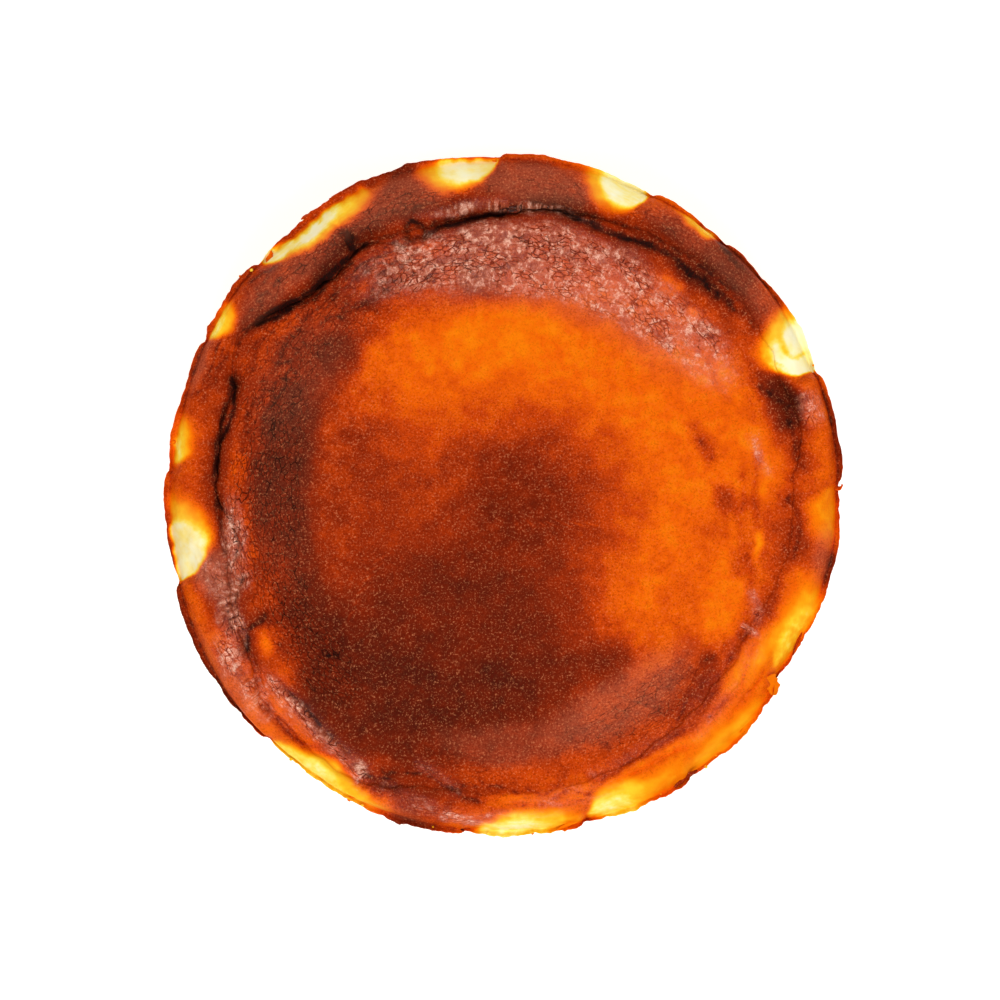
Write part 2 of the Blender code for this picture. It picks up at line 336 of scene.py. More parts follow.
# Raised ridges: points, half width and height in millimetres
RIDGES = (
    (((-86, -40), (-80, -50), (-73, -60), (-59, -76), (-46, -89)), 2.2, 0.9),
    (((-92, -42), (-88, -52), (-83, -61), (-77, -68)), 2.2, 0.7),
    (((-85, 2), (-84, -8), (-82, -19)), 2.4, 0.7),
    (((-30, -94), (-20, -97), (-10, -99), (4, -101)), 2.0, 0.5),
    (((86, -40), (76, -58), (64, -74)), 2.4, 0.6),
    (((58, -84), (44, -92), (30, -98)), 2.2, 0.6),
    (((84, 20), (84, 2), (82, -16)), 2.2, 0.5),
    (((91, 50), (96, 46), (94, 43)), 1.0, 0.5),
    (((84, -42), (80, -52), (70, -66)), 1.4, 0.5),
    (((94, -32), (90, -44), (84, -54)), 1.4, 0.5),
    (((-74, 60), (-64, 69), (-56, 78)), 2.2, 0.6),
    (((-34, 86), (-44, 86), (-54, 82)), 1.8, 0.6),
    (((-40, 76), (-50, 68), (-58, 60)), 1.5, 0.5),
    (((-28, 77), (-40, 70), (-50, 62)), 1.3, 0.4),
)
PIT = (-28.0, 84.5, 3.2, 0.0026)
HAIRLINES = (
    (((-50, -40), (-44, -26), (-37, -17)), 0.35),
    (((-3, -9), (12, -8.5), (31, -9)), 0.3),
)
WRINKLES = ((0.00042, 210.0), (0.00026, 430.0))
WRINKLE_STRETCH = 0.45
WRINKLES_FROM = 0.5
WRINKLES_FULL = 0.7
# How wrinkled the slope and the roll are, by angle
WRINKLED = (
    (0, 0.9), (30, 0.9), (60, 1.0), (90, 1.2), (112, 1.7), (150, 1.8), (180, 1.4), (220, 1.4),
    (245, 1.1), (275, 0.7), (305, 1.1), (335, 0.7),
)
# How noise wavers the painted and carved edges: size and waves in a metre
EDGE_WAVER = ((0.0016, 75.0), (0.0007, 230.0))
TORN_LIP = ((0.0007, 0.0060), (0.0006, 0.0026), (0.0004, 0.0014))
TORN_INWARD = 0.8
TORN_DOWNWARD = 0.9
FRAY_WAVE = 0.004
# How torn the lip is, by angle
TORN = (
    (0, 1.0), (30, 0.5), (60, 0.8), (90, 0.5), (120, 1.2), (160, 0.9), (200, 0.5), (235, 1.0),
    (265, 1.3), (290, 1.8), (320, 1.5), (345, 0.8),
)
PAPER_CREASES = 46
PAPER_CREASE_LEAN = 260.0
PAPER_CREASE_HEIGHT = (0.004, 0.040)
PAPER_CREASE_REACH = (0.008, 0.022)
PAPER_CREASE_DEPTH = (0.0003, 0.0009)
PAPER_CREASE_WIDTH = (0.5, 1.1)
PAPER_SEED = 5


def all_folds():
    """The named folds, then the loose ones, which run more or less along the rim."""
    yield from FOLDS
    chance = np.random.default_rng(FOLD_SEED)
    for angles, shares, count, half_width, depth, darkness in LOOSE_FOLDS:
        for _ in range(count):
            middle, length = chance.uniform(*angles), chance.uniform(*LOOSE_FOLD_LENGTH)
            turns = np.radians(middle + length * np.linspace(-0.5, 0.5, 4))
            reach = (chance.uniform(*shares) + chance.normal(0.0, 0.012, 4)) * CAKE_RADIUS / MM
            points = tuple(zip(reach * np.cos(turns), reach * np.sin(turns)))
            yield points, half_width, depth, darkness * chance.uniform(0.5, 1.0)


def distance_to_line(x, y, points):
    """Distance in metres from every place to a line through points given in millimetres."""
    nearest = np.full(x.shape, 1.0)
    for (ax, ay), (bx, by) in zip(points, points[1:]):
        dx, dy = (bx - ax) * MM, (by - ay) * MM
        along = ((x - ax * MM) * dx + (y - ay * MM) * dy) / (dx * dx + dy * dy)
        along = np.clip(along, 0.0, 1.0)
        nearest = np.minimum(nearest, np.hypot(x - ax * MM - along * dx, y - ay * MM - along * dy))
    return nearest


def near_line(x, y, points, half_width):
    """1 on a line through points, falling off beyond its half width, both in millimetres."""
    return hump(distance_to_line(x, y, points) / (half_width * MM))


def paper_creases(angles, heights):
    """Thin slanting creases that the crumpled paper pressed into the wall."""
    chance = np.random.default_rng(PAPER_SEED)
    relief = np.zeros_like(heights)
    for _ in range(PAPER_CREASES):
        angle, lean = chance.uniform(0.0, 360.0), chance.normal(0.0, PAPER_CREASE_LEAN)
        middle, reach = chance.uniform(*PAPER_CREASE_HEIGHT), chance.uniform(*PAPER_CREASE_REACH)
        depth, width = chance.uniform(*PAPER_CREASE_DEPTH), chance.uniform(*PAPER_CREASE_WIDTH)
        off = turn(angles, angle + lean * (heights - middle)) / width
        relief -= depth * hump(off) * hump((heights - middle) / reach)
    return relief


class Form:
    """The cake's surface as rings (rows) and segments (columns), with what later steps read."""

    def __init__(self):
        once = np.arange(SEGMENTS) * 360.0 / SEGMENTS
        radii, heights = rings_through(cross_section(once)).transpose(1, 0, 2)
        self.angles = np.broadcast_to(once, radii.shape)
        self.ring = np.arange(len(radii))[:, None]
        self.lip_ring = MIDDLE_RINGS + sum(RINGS_PER_SPAN[:LIP_SPAN])
        self.foot_ring = MIDDLE_RINGS + sum(RINGS_PER_SPAN)
        turns = np.radians(self.angles)
        self.flat_x, self.flat_y = radii * np.cos(turns), radii * np.sin(turns)
        self.on_top = smooth_step((self.lip_ring - self.ring) / 10.0)
        self.on_lip = hump((self.ring - self.lip_ring) / 4.0)
        self.crease = CAKE_RADIUS * around(CREASE_LINE, self.angles, blur=3.0)
        self.bend_places()
        self.share = radii / CAKE_RADIUS
        heights = scoop_pockets(radii, heights, self.angles)
        heights = heights + self.on_top * (self.swells(radii) + self.wrinkles(radii) - self.carved())
        radii, heights = self.tear_lip(radii, heights)
        radii = radii + self.wall_relief(heights)
        on_base = self.ring >= self.foot_ring
        self.heights = np.where(on_base, 0.0, np.maximum(heights, 0.0))
        self.radii = radii
        self.x, self.y = radii * np.cos(turns), radii * np.sin(turns)

    def bend_places(self):
        """Places shifted a little by noise, so that no painted or carved edge runs too true."""
        still = np.zeros_like(self.flat_x)
        shift = [
            sum(size * grain(self.flat_x, self.flat_y, still, waves, seed) for size, waves in EDGE_WAVER)
            for seed in (3.0, 9.0)
        ]
        self.bent_x, self.bent_y = self.flat_x + shift[0], self.flat_y + shift[1]
        self.bent_angle = np.degrees(np.arctan2(self.bent_y, self.bent_x))
        self.bent_share = np.hypot(self.bent_x, self.bent_y) / CAKE_RADIUS

    def swells(self, radii):
        """Broad unevenness of the top, calmer in the sunken centre."""
        still = np.zeros_like(radii)
        low = sum(size * grain(self.flat_x, self.flat_y, still, waves) for size, waves in SWELLS)
        return low * smooth_step(radii / CAKE_RADIUS - CALM_CENTRE)

    def wrinkles(self, radii):
        """Fine wrinkles of the slope and the roll, drawn out along the rim."""
        turns = np.radians(self.angles)
        stretch = WRINKLE_STRETCH * CAKE_RADIUS
        x, y = stretch * np.cos(turns), stretch * np.sin(turns)
        fine = sum(size * grain(x, y, radii, waves) for size, waves in WRINKLES)
        fine = fine * around(WRINKLED, self.angles, blur=12.0)
        return fine * smooth_step((radii / CAKE_RADIUS - WRINKLES_FROM) / (WRINKLES_FULL - WRINKLES_FROM))

    def carved(self):
        """Depth of the folds and the pit, less the height of the ridges."""
        depth = np.zeros_like(self.flat_x)
        for points, half_width, fold_depth, _ in all_folds():
            near = near_line(self.bent_x, self.bent_y, points, half_width)
            depth = np.maximum(depth, fold_depth * MM * near)
        x, y, half_width, pit_depth = PIT
        away = np.hypot(self.flat_x - x * MM, self.flat_y - y * MM) / (half_width * MM)
        raised = np.zeros_like(depth)
        for points, half_width, height in RIDGES:
            near = near_line(self.bent_x, self.bent_y, points, half_width)
            raised = np.maximum(raised, height * MM * near)
        return depth + pit_depth * (1.0 - smooth_step(away - 0.3)) - raised

    def tear_lip(self, radii, heights):
        """Frays the lip where it tore from the paper."""
        ragged = sum(size * ring_grain(self.angles, wave, 4.0) for size, wave in TORN_LIP)
        notched = sum(size * ring_grain(self.angles, wave, 8.0) for size, wave in TORN_LIP)
        self.fray = ring_grain(self.angles, FRAY_WAVE, 15.0)
        torn = around(TORN, self.angles) * self.on_lip
        return radii - TORN_INWARD * np.abs(ragged) * torn, heights + TORN_DOWNWARD * notched * torn

    def wall_relief(self, heights):
        """Pleats and thin paper creases of the wall, stronger below the lip."""
        down_wall = smooth_step(PLEAT_GROWTH * (1.0 - heights / LIP_HEIGHT))
        share = PLEAT_SHARE_AT_LIP + (1.0 - PLEAT_SHARE_AT_LIP) * down_wall
        on_wall = smooth_step((self.ring - self.lip_ring) / PLEATS_ABOVE_LIP + 1.0)
        self.pleats = pleat_relief(self.angles, heights) * on_wall
        below_lip = smooth_step((self.ring - self.lip_ring - 2) / 5.0)
        self.creased = below_lip * paper_creases(self.angles, heights)
        return share * self.pleats + self.creased


# Browning of the crust, from 0, pale custard, to 1, char. Spots are ellipses: place and half sizes in
# millimetres, tilt, level, strength, and the share of the ellipse that has full strength
CENTRE_SPOTS = (
    (40, 20, 70, 60, 0, 0.455, 0.9, 0.2),
    (-2, 54, 44, 22, 0, 0.415, 0.9, 0.1),
    (6, -4, 52, 49, 0, 0.75, 1.0, 0.08),
    (-52, 4, 46, 46, 0, 0.665, 0.95, 0.25),
    (-18, -52, 66, 54, 0, 0.80, 1.0, 0.42),
    (-40, -14, 20, 20, 0, 0.69, 0.5, 0.0),
    (0, -61, 18, 11, -10, 0.89, 0.9, 0.0),
    (33, -53, 19, 9, 14, 0.82, 0.9, 0.0),
    (-30, -62, 38, 18, -20, 0.90, 0.85, 0.1),
)
# Bands follow the rim: angle, half angle, share of the radius, half share, level, strength, core
SLOPE_BANDS = (
    (95, 58, 0.67, 0.16, 0.60, 0.9, 0.25),
    (88, 30, 0.74, 0.07, 0.66, 0.8, 0.3),
    (62, 5, 0.69, 0.05, 0.50, 0.7, 0.2),
    (62, 34, 0.64, 0.12, 0.53, 0.8, 0.1),
    (132, 22, 0.69, 0.13, 0.65, 0.9, 0.3),
    (150, 26, 0.70, 0.18, 0.67, 0.9, 0.5),
    (172, 34, 0.655, 0.115, 0.835, 0.95, 0.5),
    (196, 24, 0.62, 0.09, 0.80, 0.9, 0.3),
    (196, 12, 0.71, 0.08, 0.70, 0.8, 0.2),
    (212, 16, 0.66, 0.12, 0.82, 0.9, 0.3),
    (205, 18, 0.82, 0.08, 0.66, 0.8, 0.3),
    (228, 26, 0.66, 0.15, 0.84, 0.9, 0.4),
    (236, 20, 0.80, 0.10, 0.82, 0.9, 0.4),
    (262, 20, 0.64, 0.12, 0.83, 0.8, 0.3),
    (275, 26, 0.73, 0.08, 0.69, 0.8, 0.3),
    (278, 26, 0.82, 0.07, 0.585, 0.85, 0.3),
    (302, 20, 0.74, 0.10, 0.60, 0.9, 0.4),
    (300, 10, 0.61, 0.06, 0.74, 0.8, 0.1),
    (314, 11, 0.80, 0.06, 0.62, 0.8, 0.3),
    (320, 14, 0.62, 0.10, 0.52, 0.6, 0.2),
    (338, 22, 0.72, 0.12, 0.44, 0.9, 0.4),
    (348, 10, 0.76, 0.07, 0.58, 0.8, 0.2),
    (2, 9, 0.83, 0.08, 0.50, 0.8, 0.3),
    (12, 18, 0.74, 0.14, 0.45, 0.85, 0.4),
    (28, 14, 0.74, 0.09, 0.43, 0.8, 0.3),
    (40, 14, 0.80, 0.08, 0.59, 0.8, 0.3),
    (44, 3, 0.76, 0.035, 0.42, 0.9, 0.3),
    (60, 20, 0.79, 0.07, 0.64, 0.8, 0.3),
    (90, 26, 0.79, 0.06, 0.66, 0.8, 0.3),
    (84, 26, 0.83, 0.03, 0.70, 0.6, 0.3),
    (16, 7, 0.815, 0.05, 0.64, 0.8, 0.2),
    (262, 30, 0.86, 0.05, 0.56, 0.6, 0.2),
    (285, 10, 0.85, 0.05, 0.50, 0.8, 0.2),
    (318, 12, 0.85, 0.05, 0.46, 0.7, 0.2),
)
SLOPE_SPOTS = (
    (-55, 47, 13, 12, 0, 0.82, 0.8, 0.2),
    (-7, 70, 12, 9, 0, 0.76, 0.8, 0.1),
    (-4, 66, 9, 5, 0, 0.62, 0.5, 0.1),
    (65, 17, 6, 6, 0, 0.62, 0.6, 0.1),
    (71, 0, 5, 8, 10, 0.68, 0.7, 0.1),
    (65, -8, 7, 9, 0, 0.55, 0.5, 0.1),
    (64, -62, 13, 8, 40, 0.72, 0.7, 0.1),
    (61, -50, 12, 8, 30, 0.62, 0.5, 0.1),
    (89, 33, 11, 6, -45, 0.86, 0.9, 0.2),
    (80, 24, 8, 7, 0, 0.50, 0.7, 0.2),
    (82, -14, 2.4, 13, -4, 0.37, 0.8, 0.1),
    (84, 4, 4, 12, 0, 0.40, 0.7, 0.1),
    (75, -22, 5, 8, 0, 0.66, 0.5, 0.1),
    (-76, -47, 5, 10, 16, 0.48, 0.8, 0.1),
    (-70, -56, 5, 9, 40, 0.52, 0.8, 0.2),
    (-58, 58, 10, 6, 40, 0.56, 0.5, 0.1),
    (-69, 55, 9, 5, 35, 0.44, 0.85, 0.1),
    (-77, 44, 4, 8, -20, 0.50, 0.6, 0.1),
    (-80, 24, 5, 14, 10, 0.58, 0.5, 0.1),
    (-25, 81, 6, 3, 0, 0.45, 0.8, 0.2),
    (-28, 84.5, 3.4, 3.4, 0, 0.47, 0.9, 0.4),
    (66, -53, 4, 5, 0, 0.74, 0.8, 0.1),
    # Painted shade beside the fold under the upper right roll
    (62, 72, 15, 6, -42, 0.90, 0.9, 0.1),
    (46, 81, 8, 3, -28, 0.84, 0.6, 0.1),
    (-57, 72, 11, 4, 40, 0.90, 0.8, 0.1),
    (-72, 60, 8, 3, 20, 0.90, 0.7, 0.1),
    (-63, -78, 22, 5, -44, 0.47, 0.9, 0.2),
    (-81, -57, 13, 4, -57, 0.47, 0.85, 0.2),
    (-77, -46, 3, 9, 18, 0.42, 0.7, 0.0),
    (50, -79, 8, 3, 30, 0.66, 0.7, 0.1),
    (54, 68, 8, 5, -30, 0.40, 0.8, 0.2),
)
ROLL_BANDS = (
    (137, 16, 0.92, 0.07, 0.70, 0.9, 0.4),
    (122, 14, 0.88, 0.06, 0.78, 0.9, 0.4),
    (108, 11, 0.91, 0.08, 0.77, 0.9, 0.5),
    (99, 12, 0.88, 0.05, 0.74, 0.7, 0.3),
    (89, 3, 0.95, 0.05, 0.50, 0.8, 0.1),
    (83, 14, 0.92, 0.08, 0.74, 0.9, 0.5),
    (78, 9, 0.87, 0.05, 0.78, 0.7, 0.3),
    (69, 8, 0.89, 0.06, 0.56, 0.7, 0.3),
    (56, 12, 0.91, 0.07, 0.70, 0.9, 0.4),
    (44, 10, 0.93, 0.06, 0.79, 0.9, 0.4),
    (34, 8, 0.92, 0.08, 0.66, 0.9, 0.4),
    (14, 8, 0.94, 0.08, 0.53, 0.9, 0.4),
    (17, 6, 0.87, 0.07, 0.82, 0.9, 0.3),
    (6, 6, 0.93, 0.06, 0.45, 0.6, 0.3),
    (350, 8, 0.94, 0.07, 0.62, 0.9, 0.4),
    (342, 8, 0.91, 0.08, 0.43, 0.8, 0.4),
    (336, 5, 0.98, 0.03, 0.56, 0.8, 0.3),
    (326, 12, 0.88, 0.08, 0.33, 0.9, 0.3),
    (315, 14, 0.90, 0.05, 0.45, 0.9, 0.3),
    (312, 15, 0.97, 0.06, 0.33, 0.9, 0.3),
    (300, 16, 0.90, 0.06, 0.41, 0.9, 0.4),
    (296, 14, 0.96, 0.05, 0.30, 0.9, 0.4),
    (280, 18, 0.90, 0.05, 0.43, 0.9, 0.4),
    (268, 12, 0.91, 0.05, 0.50, 0.8, 0.3),
    (252, 12, 0.91, 0.08, 0.70, 0.9, 0.4),
    (250, 6, 0.935, 0.05, 0.74, 0.9, 0.4),
    (240, 10, 0.90, 0.04, 0.62, 0.8, 0.3),
    (224, 10, 0.92, 0.08, 0.425, 0.9, 0.4),
    (209, 11, 0.93, 0.07, 0.53, 0.9, 0.4),
    (199, 8, 0.89, 0.05, 0.70, 0.8, 0.3),
    (186, 7, 0.90, 0.06, 0.60, 0.8, 0.4),
    (181, 5, 0.95, 0.06, 0.50, 0.9, 0.4),
    (172, 9, 0.90, 0.06, 0.56, 0.8, 0.4),
    (160, 9, 0.92, 0.06, 0.62, 0.8, 0.4),
    (154, 8, 0.97, 0.04, 0.66, 0.8, 0.4),
)
# Painted sheen: a dull mauve haze laid on the crust where the lights' soft reflection falls
MAUVE_SHEEN_BANDS = (
    (109, 14, 0.92, 0.08, 1.0, 0.70, 0.4),
    (83, 16, 0.92, 0.08, 1.0, 0.75, 0.4),
    (132, 20, 0.91, 0.07, 1.0, 0.55, 0.4),
    (44, 12, 0.94, 0.06, 1.0, 0.45, 0.4),
    (58, 10, 0.93, 0.05, 1.0, 0.40, 0.4),
    (34, 8, 0.94, 0.06, 1.0, 0.30, 0.4),
    (350, 7, 0.95, 0.05, 1.0, 0.55, 0.3),
    (176, 40, 0.655, 0.12, 1.0, 0.12, 0.5),
    (186, 7, 0.93, 0.06, 1.0, 0.40, 0.3),
    (195, 7, 0.87, 0.09, 1.0, 0.75, 0.3),
    (156, 8, 0.97, 0.04, 1.0, 0.65, 0.3),
    (222, 10, 0.94, 0.06, 1.0, 0.15, 0.3),
    (300, 26, 0.70, 0.11, 1.0, 0.75, 0.4),
    (272, 22, 0.73, 0.08, 1.0, 0.32, 0.4),
    (148, 24, 0.70, 0.14, 1.0, 0.22, 0.4),
    (72, 50, 0.62, 0.10, 1.0, 0.30, 0.4),
    (212, 14, 0.97, 0.03, 1.0, 0.40, 0.3),
    (250, 10, 0.98, 0.03, 1.0, 0.50, 0.3),
)
# Where the crust is wet with caramelised whey: glossy, and with painted sheen and sparkle
GLOSS_BANDS = (
    (76, 52, 0.70, 0.14, 1.0, 0.95, 0.5),
    (114, 18, 0.74, 0.10, 1.0, 0.55, 0.3),
    (36, 14, 0.72, 0.11, 1.0, 0.80, 0.4),
    (90, 24, 0.848, 0.028, 1.0, 0.60, 0.3),
    (188, 12, 0.795, 0.05, 1.0, 0.95, 0.4),
    (195, 6, 0.88, 0.08, 1.0, 0.60, 0.3),
    (204, 8, 0.87, 0.05, 1.0, 0.80, 0.3),
    (218, 14, 0.90, 0.06, 1.0, 0.30, 0.4),
    (252, 12, 0.93, 0.05, 1.0, 0.35, 0.3),
    (270, 12, 0.94, 0.035, 1.0, 0.45, 0.3),
    (16, 5, 0.93, 0.06, 1.0, 0.85, 0.3),
    (318, 24, 0.84, 0.08, 1.0, 0.15, 0.3),
    (282, 14, 0.90, 0.05, 1.0, 0.35, 0.3),
)
# Wet ridges, glossy and with painted sparkle: points and half width in millimetres, strength
GLOSS_LINES = (
    (((-74, -60), (-66, -69), (-56, -79), (-46, -89)), 3.0, 1.0),
    (((-90, -46), (-87, -54), (-82, -62), (-77, -68)), 3.2, 1.0),
    (((-27, -85), (-22, -88), (-15, -94)), 1.6, 0.5),
    (((-18, -101), (-10, -104), (-3, -104)), 2.0, 0.9),
    (((-82, -25), (-87, -33), (-85, -44)), 2.4, 0.6),
    (((30, -88), (40, -84), (52, -76)), 2.2, 0.3),
    (((62, -76), (70, -66), (80, -50)), 2.2, 0.3),
    (((80, -31), (82, -35), (81, -39)), 1.5, 0.9),
    (((78, -42), (81, -45)), 1.3, 0.8),
    (((80, 18), (83, 12), (85, 9)), 1.6, 0.9),
)
# Where the dry crust cracked
CRACK_BANDS = (
    (180, 42, 0.70, 0.14, 1.0, 1.0, 0.5),
    (218, 22, 0.72, 0.12, 1.0, 0.8, 0.4),
    (148, 24, 0.76, 0.16, 1.0, 0.6, 0.4),
    (116, 34, 0.90, 0.06, 1.0, 1.0, 0.4),
    (70, 24, 0.92, 0.05, 1.0, 0.60, 0.4),
    (118, 30, 0.70, 0.16, 1.0, 0.5, 0.4),
    (302, 26, 0.74, 0.11, 1.0, 0.6, 0.4),
    (262, 16, 0.80, 0.10, 1.0, 0.35, 0.4),
    (44, 16, 0.93, 0.07, 1.0, 0.35, 0.4),
)
# Reach of a fold's dark line and of the painted shade about it, in its half widths, and the painted shade's
# depth
FOLD_LINE = 0.95
FOLD_SHADE = (2.8, 0.46)
FOLD_LEVEL = 0.95
# Painted shade on the sides of the roll, and painted light on the crown between: where, from the crease to
# the rim, how wide, and how much darker
ROLL_PAINTED_SHADE = ((0.14, 0.14, 0.06), (0.90, 0.09, 0.06), (0.50, 0.20, -0.04))
# Char in the crease, by angle
CREASE_CHAR = (
    (5, 0.2), (25, 0.35), (45, 0.4), (60, 0.45), (75, 0.6), (90, 0.55), (105, 0.5), (112, 0.35),
    (122, 1.0), (140, 1.0), (147, 0.6), (152, 0.3), (165, 0.8), (178, 0.8), (190, 0.45), (205, 0.45),
    (215, 0.4), (235, 0.15), (260, 0.0), (310, 0.12), (330, 0.0), (350, 0.2),
)
# Browning of the middle of the top by share of the radius, before any spot
TOP_BROWNING = (
    (0.00, 0.50), (0.45, 0.46), (0.60, 0.50), (0.72, 0.56), (0.84, 0.60), (0.93, 0.55), (1.00, 0.50),
)
# Browning of the lip, by angle
LIP_BROWNING = (
    (2, 0.60), (12, 0.80), (20, 0.45), (35, 0.55), (45, 0.60), (58, 0.45), (75, 0.45), (90, 0.55),
    (105, 0.80), (120, 0.60), (138, 0.62), (155, 0.60), (172, 0.50), (183, 0.60), (200, 0.84),
    (215, 0.90), (226, 0.50), (243, 0.80), (255, 0.86), (262, 0.50), (280, 0.40), (287, 0.80),
    (292, 0.35), (305, 0.60), (318, 0.38), (326, 0.60), (335, 0.85), (348, 0.70),
)
# How much of the lip kept its crust outside the pale pockets, by angle
LIP_CRUST = (
    (-8, 0.2), (4, 0.7), (22, 0.0), (33, 0.2), (48, 0.6), (60, 0.8), (64, 0.9), (66, 0.1), (86, 0.1),
    (92, 0.8), (100, 0.5), (112, 0.9), (130, 1.0), (134, 0.2), (146, 0.6), (165, 0.9), (180, 0.8),
    (190, 0.9), (196, 0.2), (224, 0.0), (246, 0.2), (262, 0.8), (268, 0.1), (284, 0.7), (290, 0.1),
    (300, 0.7), (306, 0.1), (325, 0.5), (345, 0.2),
)
# How many rings in from the lip that crust reaches, by angle
LIP_CRUST_RINGS = (
    (0, 6), (60, 6), (98, 6), (110, 8), (122, 9), (132, 8), (137, 6), (250, 6), (270, 9), (300, 9),
    (340, 6),
)
# Char of the groove inside the lip, by angle
GROOVE_CHAR = (
    (2, 0.5), (18, 0.9), (30, 0.3), (40, 0.9), (62, 0.8), (68, 0.1), (88, 0.3), (104, 0.5), (114, 0.2),
    (138, 0.5), (150, 0.8), (165, 0.5), (180, 0.3), (200, 0.6), (222, 0.7), (232, 0.0), (246, 0.7),
    (258, 0.5), (275, 0.1), (302, 0.2), (330, 0.1), (345, 0.7),
)
# Browning of the wall by height
WALL_BROWNING = (
    (0.000, 0.60), (0.004, 0.48), (0.012, 0.36), (0.022, 0.38), (0.032, 0.48), (0.040, 0.64),
    (0.046, 0.70),
)
# Grain of the wall: size, waves in a metre, and how far it is drawn out down the wall
WALL_GRAIN = ((0.10, 60.0, 0.25), (0.06, 210.0, 0.35))
# Browning for each metre that a pleat or a paper crease stands out
PLEAT_SHADE = 60.0
PAPER_CREASE_SHADE = 150.0
BASE_BROWNING = 0.26
BASE_EDGE = (0.7, 0.16)
BASE_GRAIN = (0.10, 60.0)
HAIRLINE_SHADE = -0.08
# Arches of the pale pockets: how square they are, and for the pale core and the golden glow about it
# how far its edge lies within the pocket's (share of the cake, share of the pocket's width) and its
# softness from the sharp side to the faded side
ARCH_TOP = 1.03
ARCH_POWER = 2.3
PALE_GLOW = (-0.022, -0.22, (0.22, 0.55, 0.85))
PALE_CORE = (0.002, 0.04, (0.14, 0.40, 0.75))
GLOW_LEVEL = 0.25
CORE_LEVEL = 0.085
# Golden curls in the pale custard: points and half width in millimetres, strength
CUSTARD_CURLS = (
    (((87, 55), (88, 51), (89.5, 47.5), (92, 45.2), (95, 45), (97, 46.5)), 1.3, 0.6),
    (((83, 51), (84, 47), (87, 43), (91, 41)), 1.0, 0.4),
    (((-58, 84), (-50, 90), (-42, 95)), 0.9, 0.3),
    (((-102, -10), (-100, -18), (-97, -24)), 0.9, 0.3),
    (((-58, -86), (-50, -92), (-44, -96)), 0.9, 0.25),
)


def soft_edge(distance, core):
    """1 within the core, falling evenly to 0 at a distance of 1."""
    return 1.0 - smooth_step((distance - core) / (1.0 - core))


def paint_spots(field, form, spots):
    """Brings a field towards each spot's level, inside the spot."""
    for x, y, half_x, half_y, tilt, level, strength, core in spots:
        lean = math.radians(tilt)
        dx, dy = form.bent_x / MM - x, form.bent_y / MM - y
        along = (dx * math.cos(lean) + dy * math.sin(lean)) / half_x
        across = (dy * math.cos(lean) - dx * math.sin(lean)) / half_y
        field = field + (level - field) * strength * soft_edge(np.hypot(along, across), core)
    return field


def paint_bands(field, form, bands):
    """Brings a field towards each band's level, along a stretch of the rim."""
    for angle, half_angle, share, half_share, level, strength, core in bands:
        along = turn(form.bent_angle, angle) / half_angle
        across = (form.bent_share - share) / half_share
        field = field + (level - field) * strength * soft_edge(np.hypot(along, across), core)
    return field


def paint_lines(field, form, lines):
    """Raises a field to 1 along each line, by its strength."""
    for points, half_width, strength in lines:
        near = near_line(form.bent_x, form.bent_y, points, half_width)
        field = field + (1.0 - field) * strength * near
    return field


def browning(form):
    """How far the crust has browned, all over the cake."""
    shares, levels = zip(*TOP_BROWNING)
    top = np.interp(form.bent_share, shares, levels)
    top = paint_spots(top, form, CENTRE_SPOTS)
    top = paint_bands(top, form, SLOPE_BANDS)
    top = paint_spots(top, form, SLOPE_SPOTS)
    top = paint_bands(top, form, ROLL_BANDS)
    # Painted shade on the roll's sides and painted light on its crown
    across = (form.bent_share * CAKE_RADIUS - form.crease) / (CAKE_RADIUS - form.crease)
    shaded = sum(size * hump((across - side) / width) for side, width, size in ROLL_PAINTED_SHADE)
    top = top + shaded * np.clip((top - 0.5) / 0.2, 0.0, 1.0)
    # Painted shade about the folds, the crease and the groove inside the lip
    reach, strength = FOLD_SHADE
    top = top + (FOLD_LEVEL - top) * strength * darkened(form, reach)
    for points, half_width in HAIRLINES:
        top = top + HAIRLINE_SHADE * near_line(form.flat_x, form.flat_y, points, half_width)
    heights, levels = zip(*WALL_BROWNING)
    wall = np.interp(form.heights, heights, levels)
    wall = wall + PLEAT_SHADE * form.pleats + PAPER_CREASE_SHADE * form.creased
    for size, waves, drawn_out in WALL_GRAIN:
        wall = wall + size * grain(form.x, form.y, drawn_out * form.heights, waves, 2.0)
    lip = around(LIP_BROWNING, form.angles, blur=2.0)
    down = smooth_step((form.ring - form.lip_ring) / 3.0)
    toast = top * (1.0 - down) + wall * down
    toast = toast + (lip - toast) * 0.9 * form.on_lip
    toast = toast + (lip - toast) * lip_crust(form)
    on_base = smooth_step((form.ring - form.foot_ring + 2) / 4.0)
    start, rise = BASE_EDGE
    size, waves = BASE_GRAIN
    base = BASE_BROWNING + rise * smooth_step((form.share - start) / (1.0 - start))
    base = base + size * grain(form.x, form.y, np.zeros_like(form.x), waves, 6.0)
    return np.clip(toast * (1.0 - on_base) + base * on_base, 0.0, 1.0)


def lip_crust(form):
    """Where the torn lip kept its crust."""
    off_lip = form.ring - form.lip_ring
    inward = around(LIP_CRUST_RINGS, form.angles, blur=2.0) * (1.0 + 0.6 * form.fray)
    width = np.where(off_lip < 0, inward, 2.4)
    crust = hump(off_lip / np.maximum(width, 1.0))
    return np.clip(1.2 * crust * around(LIP_CRUST, form.angles, blur=1.0), 0.0, 1.0)


def darkened(form, reach):
    """The dark lines of the folds, of the crease and of the groove inside the lip; at a wide reach, the
    painted shade about them.
    """
    lines = np.zeros_like(form.share)
    for points, half_width, _, darkness in all_folds():
        near = near_line(form.bent_x, form.bent_y, points, reach * half_width)
        lines = np.maximum(lines, darkness * near)
    off_crease = (form.share * CAKE_RADIUS - form.crease) / (1.1 * reach * MM)
    crease = around(CREASE_CHAR, form.angles, blur=3.0) * hump(off_crease + 0.3)
    off_groove = (form.ring - form.lip_ring + 5.5) / 2.0
    groove = around(GROOVE_CHAR, form.angles, blur=3.0) * hump(off_groove)
    return np.maximum(lines, np.maximum(crease, 0.9 * groove))


